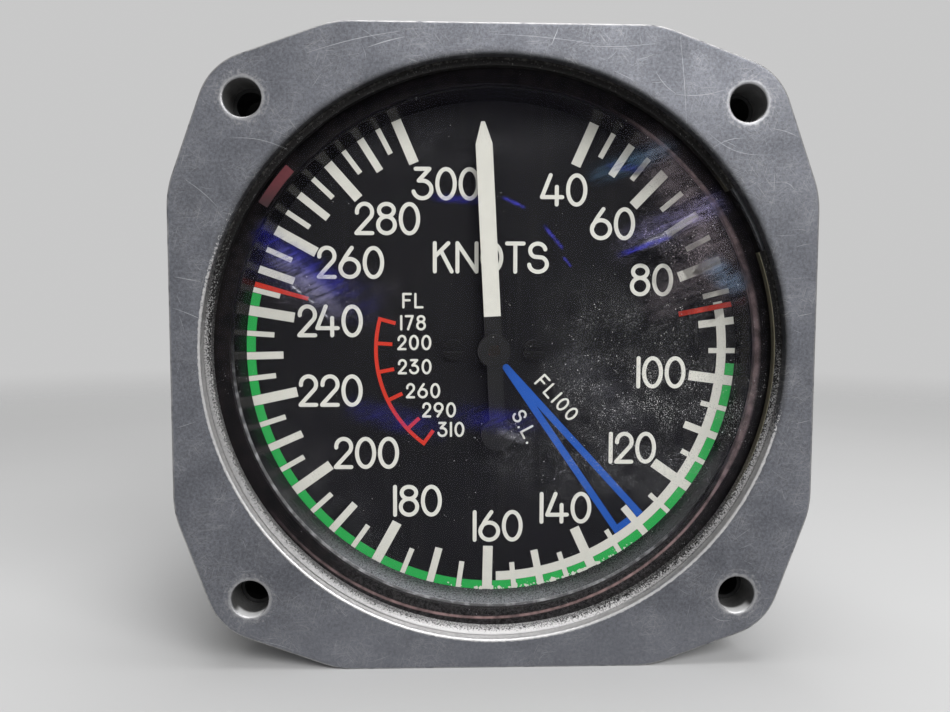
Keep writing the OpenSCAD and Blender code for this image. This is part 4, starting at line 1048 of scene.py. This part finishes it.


# Films of grease, tinted with painted reflections of blue, violet and pale light
BLUE = (0.10, 0.10, 0.90)
DEEP_BLUE = (0.035, 0.035, 0.34)
NIGHT_BLUE = (0.04, 0.04, 0.42)
VIOLET = (0.50, 0.46, 0.92)
MAUVE = (0.50, 0.48, 0.68)
HAZE = (0.36, 0.30, 0.33)
TEAL = (0.18, 0.36, 0.58)
PALE = (0.70, 0.70, 0.78)
GREASE_AND_REFLECTIONS = [
    ((14.0, 23.8), (24.0, 27.6), 2.2, 0.24, TEAL),
    ((15.6, 25.0), (20.0, 24.6), 0.9, 0.40, DEEP_BLUE),
    ((22.0, 28.0), (33.0, 8.0), 5.0, 0.32, HAZE),
    ((19.0, 15.4), (32.5, 21.0), 2.6, 0.26, VIOLET),
    ((20.0, 14.2), (24.5, 16.0), 1.1, 0.50, PALE),
    ((17.6, 13.2), (23.6, 15.3), 0.55, 0.85, BLUE),
    ((29.5, 12.0), (34.0, 8.5), 2.6, 0.26, TEAL),
    ((-31.0, 12.5), (-17.0, 6.0), 4.2, 0.30, DEEP_BLUE),
    ((-31.0, 15.5), (-21.5, 8.5), 2.6, 0.60, NIGHT_BLUE),
    ((-29.0, 12.5), (-21.0, 5.0), 2.6, 0.36, MAUVE),
    ((-27.2, 8.6), (-26.1, 7.7), 0.28, 1.0, PALE),
    ((-25.2, 7.0), (-24.4, 6.4), 0.28, 0.9, PALE),
    ((-23.0, 5.0), (-22.5, 4.4), 0.25, 0.8, PALE),
    ((-8.0, 20.6), (-2.5, 20.2), 0.9, 0.55, DEEP_BLUE),
    ((1.4, 20.6), (4.0, 19.4), 0.40, 0.60, BLUE),
    ((7.0, 16.7), (9.2, 14.1), 0.40, 0.60, BLUE),
    ((9.6, 12.6), (10.5, 11.5), 0.32, 0.60, BLUE),
    ((-19.0, -8.0), (-7.5, -11.0), 2.6, 0.30, DEEP_BLUE),
    ((-4.5, -9.0), (5.5, -10.2), 2.6, 0.34, DEEP_BLUE),
    ((1.0, -11.4), (4.8, -12.6), 1.0, 0.22, PALE),
    ((10.0, -1.0), (20.0, -10.0), 4.5, 0.06, PALE),
    ((22.0, 5.0), (29.0, 12.0), 4.0, 0.18, HAZE),
]
film_patches("glass_grease_and_reflections", GREASE_AND_REFLECTIONS, grease_and_reflection_film())

# Films of dust; the rose, violet and lilac tints are painted reflections on the dust
DUST_GREY = (0.52, 0.52, 0.52)
DUST_PALE = (0.60, 0.60, 0.60)
DUST_COOL = (0.56, 0.56, 0.58)
DUST_WITH_ROSE_REFLECTION = (0.50, 0.44, 0.47)
DUST_WITH_VIOLET_REFLECTION = (0.62, 0.56, 0.78)
DUST_BLUISH = (0.48, 0.48, 0.52)
DUST_DIM = (0.48, 0.48, 0.50)
DUST_WITH_LILAC_REFLECTION = (0.55, 0.50, 0.62)
DUSTY = [
    ((8.0, 4.0), (36.0, 4.0), 10.0, 0.50, DUST_GREY),
    ((8.0, -6.0), (36.0, -7.0), 9.0, 1.0, DUST_PALE),
    ((2.0, -15.0), (32.0, -17.0), 8.0, 0.80, DUST_COOL),
    ((20.0, 23.0), (31.0, 8.0), 7.0, 1.0, DUST_WITH_ROSE_REFLECTION),
    ((17.0, 14.0), (33.0, 19.5), 3.6, 1.0, DUST_WITH_VIOLET_REFLECTION),
    ((-16.0, 27.0), (16.0, 28.0), 5.0, 0.30, DUST_BLUISH),
    ((-32.0, -6.0), (-14.0, -30.0), 5.0, 0.40, DUST_DIM),
    ((-32.0, 10.0), (-14.0, 6.0), 6.0, 0.60, DUST_WITH_LILAC_REFLECTION),
]
film_patches("glass_haze", DUSTY, dust_and_reflection_film())


# Scratches on the flange

# How far a scratch stands over the flange, its thickness and its steps
SCRATCH_H = 0.003
SCRATCH_THICK = 0.0045
SCRATCH_STEPS = 8
# Width of a scratch at its ends, as a share of its width in the middle
SCRATCH_END = 0.25


def scratches(name, lines, finish):
    """Thin bright slivers on the flange: start, end, width and bow of each."""
    bm = bmesh.new()
    for start, end, width, bow in lines:
        a, b = Vector(start), Vector(end)
        along = b - a
        across = Vector((-along.y, along.x)).normalized()
        rows = []
        for i in range(SCRATCH_STEPS + 1):
            u = i / SCRATCH_STEPS
            swell = math.sin(math.pi * u)
            middle = a + along * u + across * bow * swell
            half = width / 2 * (SCRATCH_END + (1 - SCRATCH_END) * swell)
            rows.append([bm.verts.new((p.x * MM, FACE_Y - SCRATCH_H * MM, p.y * MM))
                         for p in (middle + across * half, middle - across * half)])
        for r0, r1 in zip(rows, rows[1:]):
            bm.faces.new((r0[0], r0[1], r1[1], r1[0]))
    thicken(bm, list(bm.faces), SCRATCH_THICK * MM)
    bmesh.ops.recalc_face_normals(bm, faces=bm.faces)
    return piece(name, bm, finish)


# Radius outside the opening's bevel, and half the flat width of the flange
OPENING_CLEAR = RING_R / MM + 0.2
FLAT_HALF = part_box("case")[1].x / MM - 0.7
# Farthest place of a hair scratch from the dial axis, half the side of the square that it is drawn
# from, and the width round each hole that it keeps out of
HAIR_FAR = 44
HAIR_AREA = 40
HOLE_CLEAR = 1.0
# Spread of a hair scratch's run along x and z, its least length, its widths and the spread of its bow
HAIR_RUN = (1.6, 0.9)
HAIR_LEAST = 0.5
HAIR_WIDTH = (0.015, 0.035)
HAIR_BOW = 0.05


def hair_scratches(count, seed):
    """Short random scratches on the flat of the flange, clear of the opening and the holes."""
    draw = random.Random(seed)
    made = []
    while len(made) < count:
        p = Vector((draw.uniform(-HAIR_AREA, HAIR_AREA), draw.uniform(-HAIR_AREA, HAIR_AREA)))
        q = p + Vector((draw.gauss(0, HAIR_RUN[0]), draw.gauss(0, HAIR_RUN[1])))
        inside = all(OPENING_CLEAR < s.length < HAIR_FAR and max(abs(s.x), abs(s.y)) < FLAT_HALF
                     for s in (p, q))
        hole = Vector((math.copysign(HOLE_AT, p.x), math.copysign(HOLE_AT, p.y)))
        clear = all((s - hole).length > HOLE_R + HOLE_CLEAR for s in (p, (p + q) / 2, q))
        if inside and clear and (p - q).length > HAIR_LEAST:
            made.append((p, q, draw.uniform(*HAIR_WIDTH), draw.gauss(0, HAIR_BOW)))
    return made


SCRATCHES = [
    ((-23.5, 36.8), (-12.0, 39.6), 0.07, 0.3), ((-16.0, 37.6), (-11.5, 38.9), 0.10, 0.1),
    ((-33.0, 26.5), (-26.0, 25.2), 0.06, 0.5), ((-38.6, 21.5), (-34.5, 18.0), 0.06, 0.2),
    ((-40.0, 9.5), (-36.8, 8.9), 0.08, 0.0), ((-40.2, 5.6), (-36.0, 3.8), 0.07, 0.1),
    ((6.6, 38.2), (7.4, 40.2), 0.08, 0.0), ((19.6, 35.2), (22.3, 32.4), 0.05, -0.3),
    ((22.0, 32.4), (28.4, 33.0), 0.05, -0.4), ((22.6, 39.4), (23.6, 28.8), 0.04, 0.1),
    ((26.5, 27.6), (33.5, 25.0), 0.05, -0.8), ((27.0, 25.9), (31.4, 27.1), 0.05, 0.4),
    ((34.4, 28.3), (37.8, 27.3), 0.05, 0.2), ((34.9, 22.8), (34.9, 20.4), 0.05, 0.0),
    ((35.9, 21.7), (37.6, 20.6), 0.06, 0.3), ((38.3, 4.8), (40.3, 5.2), 0.06, 0.0),
    ((38.6, -9.0), (40.3, -8.6), 0.06, 0.0), ((-40.2, -9.4), (-37.8, -8.6), 0.05, 0.0),
    ((28.2, -34.2), (30.9, -34.8), 0.07, -0.4), ((-1.0, 39.4), (12.0, 38.4), 0.04, 0.2),
    ((10.0, 38.2), (20.0, 38.6), 0.04, -0.3), ((37.8, 13.5), (40.0, 14.0), 0.04, 0.1),
    ((-30.5, -37.0), (-26.0, -38.2), 0.05, 0.2),
]
scratches("flange_scratches", SCRATCHES + hair_scratches(count=60, seed=5), scuff_metal())


# Floor, light and camera

# Corners of the round floor, and radii of its rings in metres
FLOOR_SIDES = 64
FLOOR_RINGS = (0.1, 0.3, 0.6)


def floor(name, finish):
    """A round floor under the object."""
    bm = bmesh.new()
    turns = [math.tau * i / FLOOR_SIDES for i in range(FLOOR_SIDES)]
    rings = [[bm.verts.new((r * math.cos(a), r * math.sin(a), FLOOR_Z)) for a in turns] for r in FLOOR_RINGS]
    bm.faces.new(rings[0])
    for inner, outer in zip(rings, rings[1:]):
        for i in range(FLOOR_SIDES):
            j = (i + 1) % FLOOR_SIDES
            bm.faces.new((inner[i], outer[i], outer[j], inner[j]))
    mesh = bpy.data.meshes.new(name)
    bm.to_mesh(mesh)
    bm.free()
    mesh.materials.append(finish)
    made = bpy.data.objects.new(name, mesh)
    bpy.context.scene.collection.objects.link(made)


# Name, place in metres, size in metres and watts of each lamp
LAMPS = (
    ("key", (0.28, -0.40, 0.33), 0.28, 2.3),
    ("front", (0.06, -0.50, 0.34), 0.22, 1.0),
    ("top", (0.03, 0.02, 0.42), 0.35, 1.6),
    ("fill", (-0.36, -0.40, 0.02), 0.30, 0.30),
)


def lamp(name, at, size, watts):
    """A square soft light that faces the origin."""
    data = bpy.data.lights.new(name, "AREA")
    data.size = size
    data.energy = watts
    made = bpy.data.objects.new(name, data)
    made.location = at
    made.rotation_euler = (-Vector(at)).to_track_quat("-Z", "Y").to_euler()
    bpy.context.scene.collection.objects.link(made)


def world(light, background):
    """A plain world: one level lights the object, and the other is seen behind it and in gloss."""
    made = bpy.data.worlds.new("studio")
    made.use_nodes = True
    tree = made.node_tree
    path = tree.nodes.new("ShaderNodeLightPath")
    seen = path.outputs["Is Camera Ray"]
    for kind in ("Is Glossy Ray", "Is Transmission Ray"):
        either = tree.nodes.new("ShaderNodeMath")
        either.operation = "MAXIMUM"
        tree.links.new(seen, either.inputs[0])
        tree.links.new(path.outputs[kind], either.inputs[1])
        seen = either.outputs[0]
    level = tree.nodes.new("ShaderNodeMapRange")
    level.inputs["To Min"].default_value = light
    level.inputs["To Max"].default_value = background
    tree.links.new(seen, level.inputs["Value"])
    back = tree.nodes["Background"]
    back.inputs["Color"].default_value = (1.0, 1.0, 1.0, 1)
    tree.links.new(level.outputs[0], back.inputs["Strength"])
    bpy.context.scene.world = made


def camera():
    """The camera of the photograph."""
    data = bpy.data.cameras.new("camera")
    data.sensor_width = SENSOR_W
    data.lens = SENSOR_W * FOCAL_PIXELS / PHOTO_W
    data.clip_start = CLIP_START
    made = bpy.data.objects.new("camera", data)
    made.location = CAMERA_AT
    made.rotation_euler = [math.radians(a) for a in CAMERA_TURN_DEG]
    bpy.context.scene.collection.objects.link(made)
    bpy.context.scene.camera = made


floor("floor", floor_finish())
world(light=0.24, background=0.58)
for values in LAMPS:
    lamp(*values)
camera()
bpy.context.scene.view_settings.view_transform = "Standard"
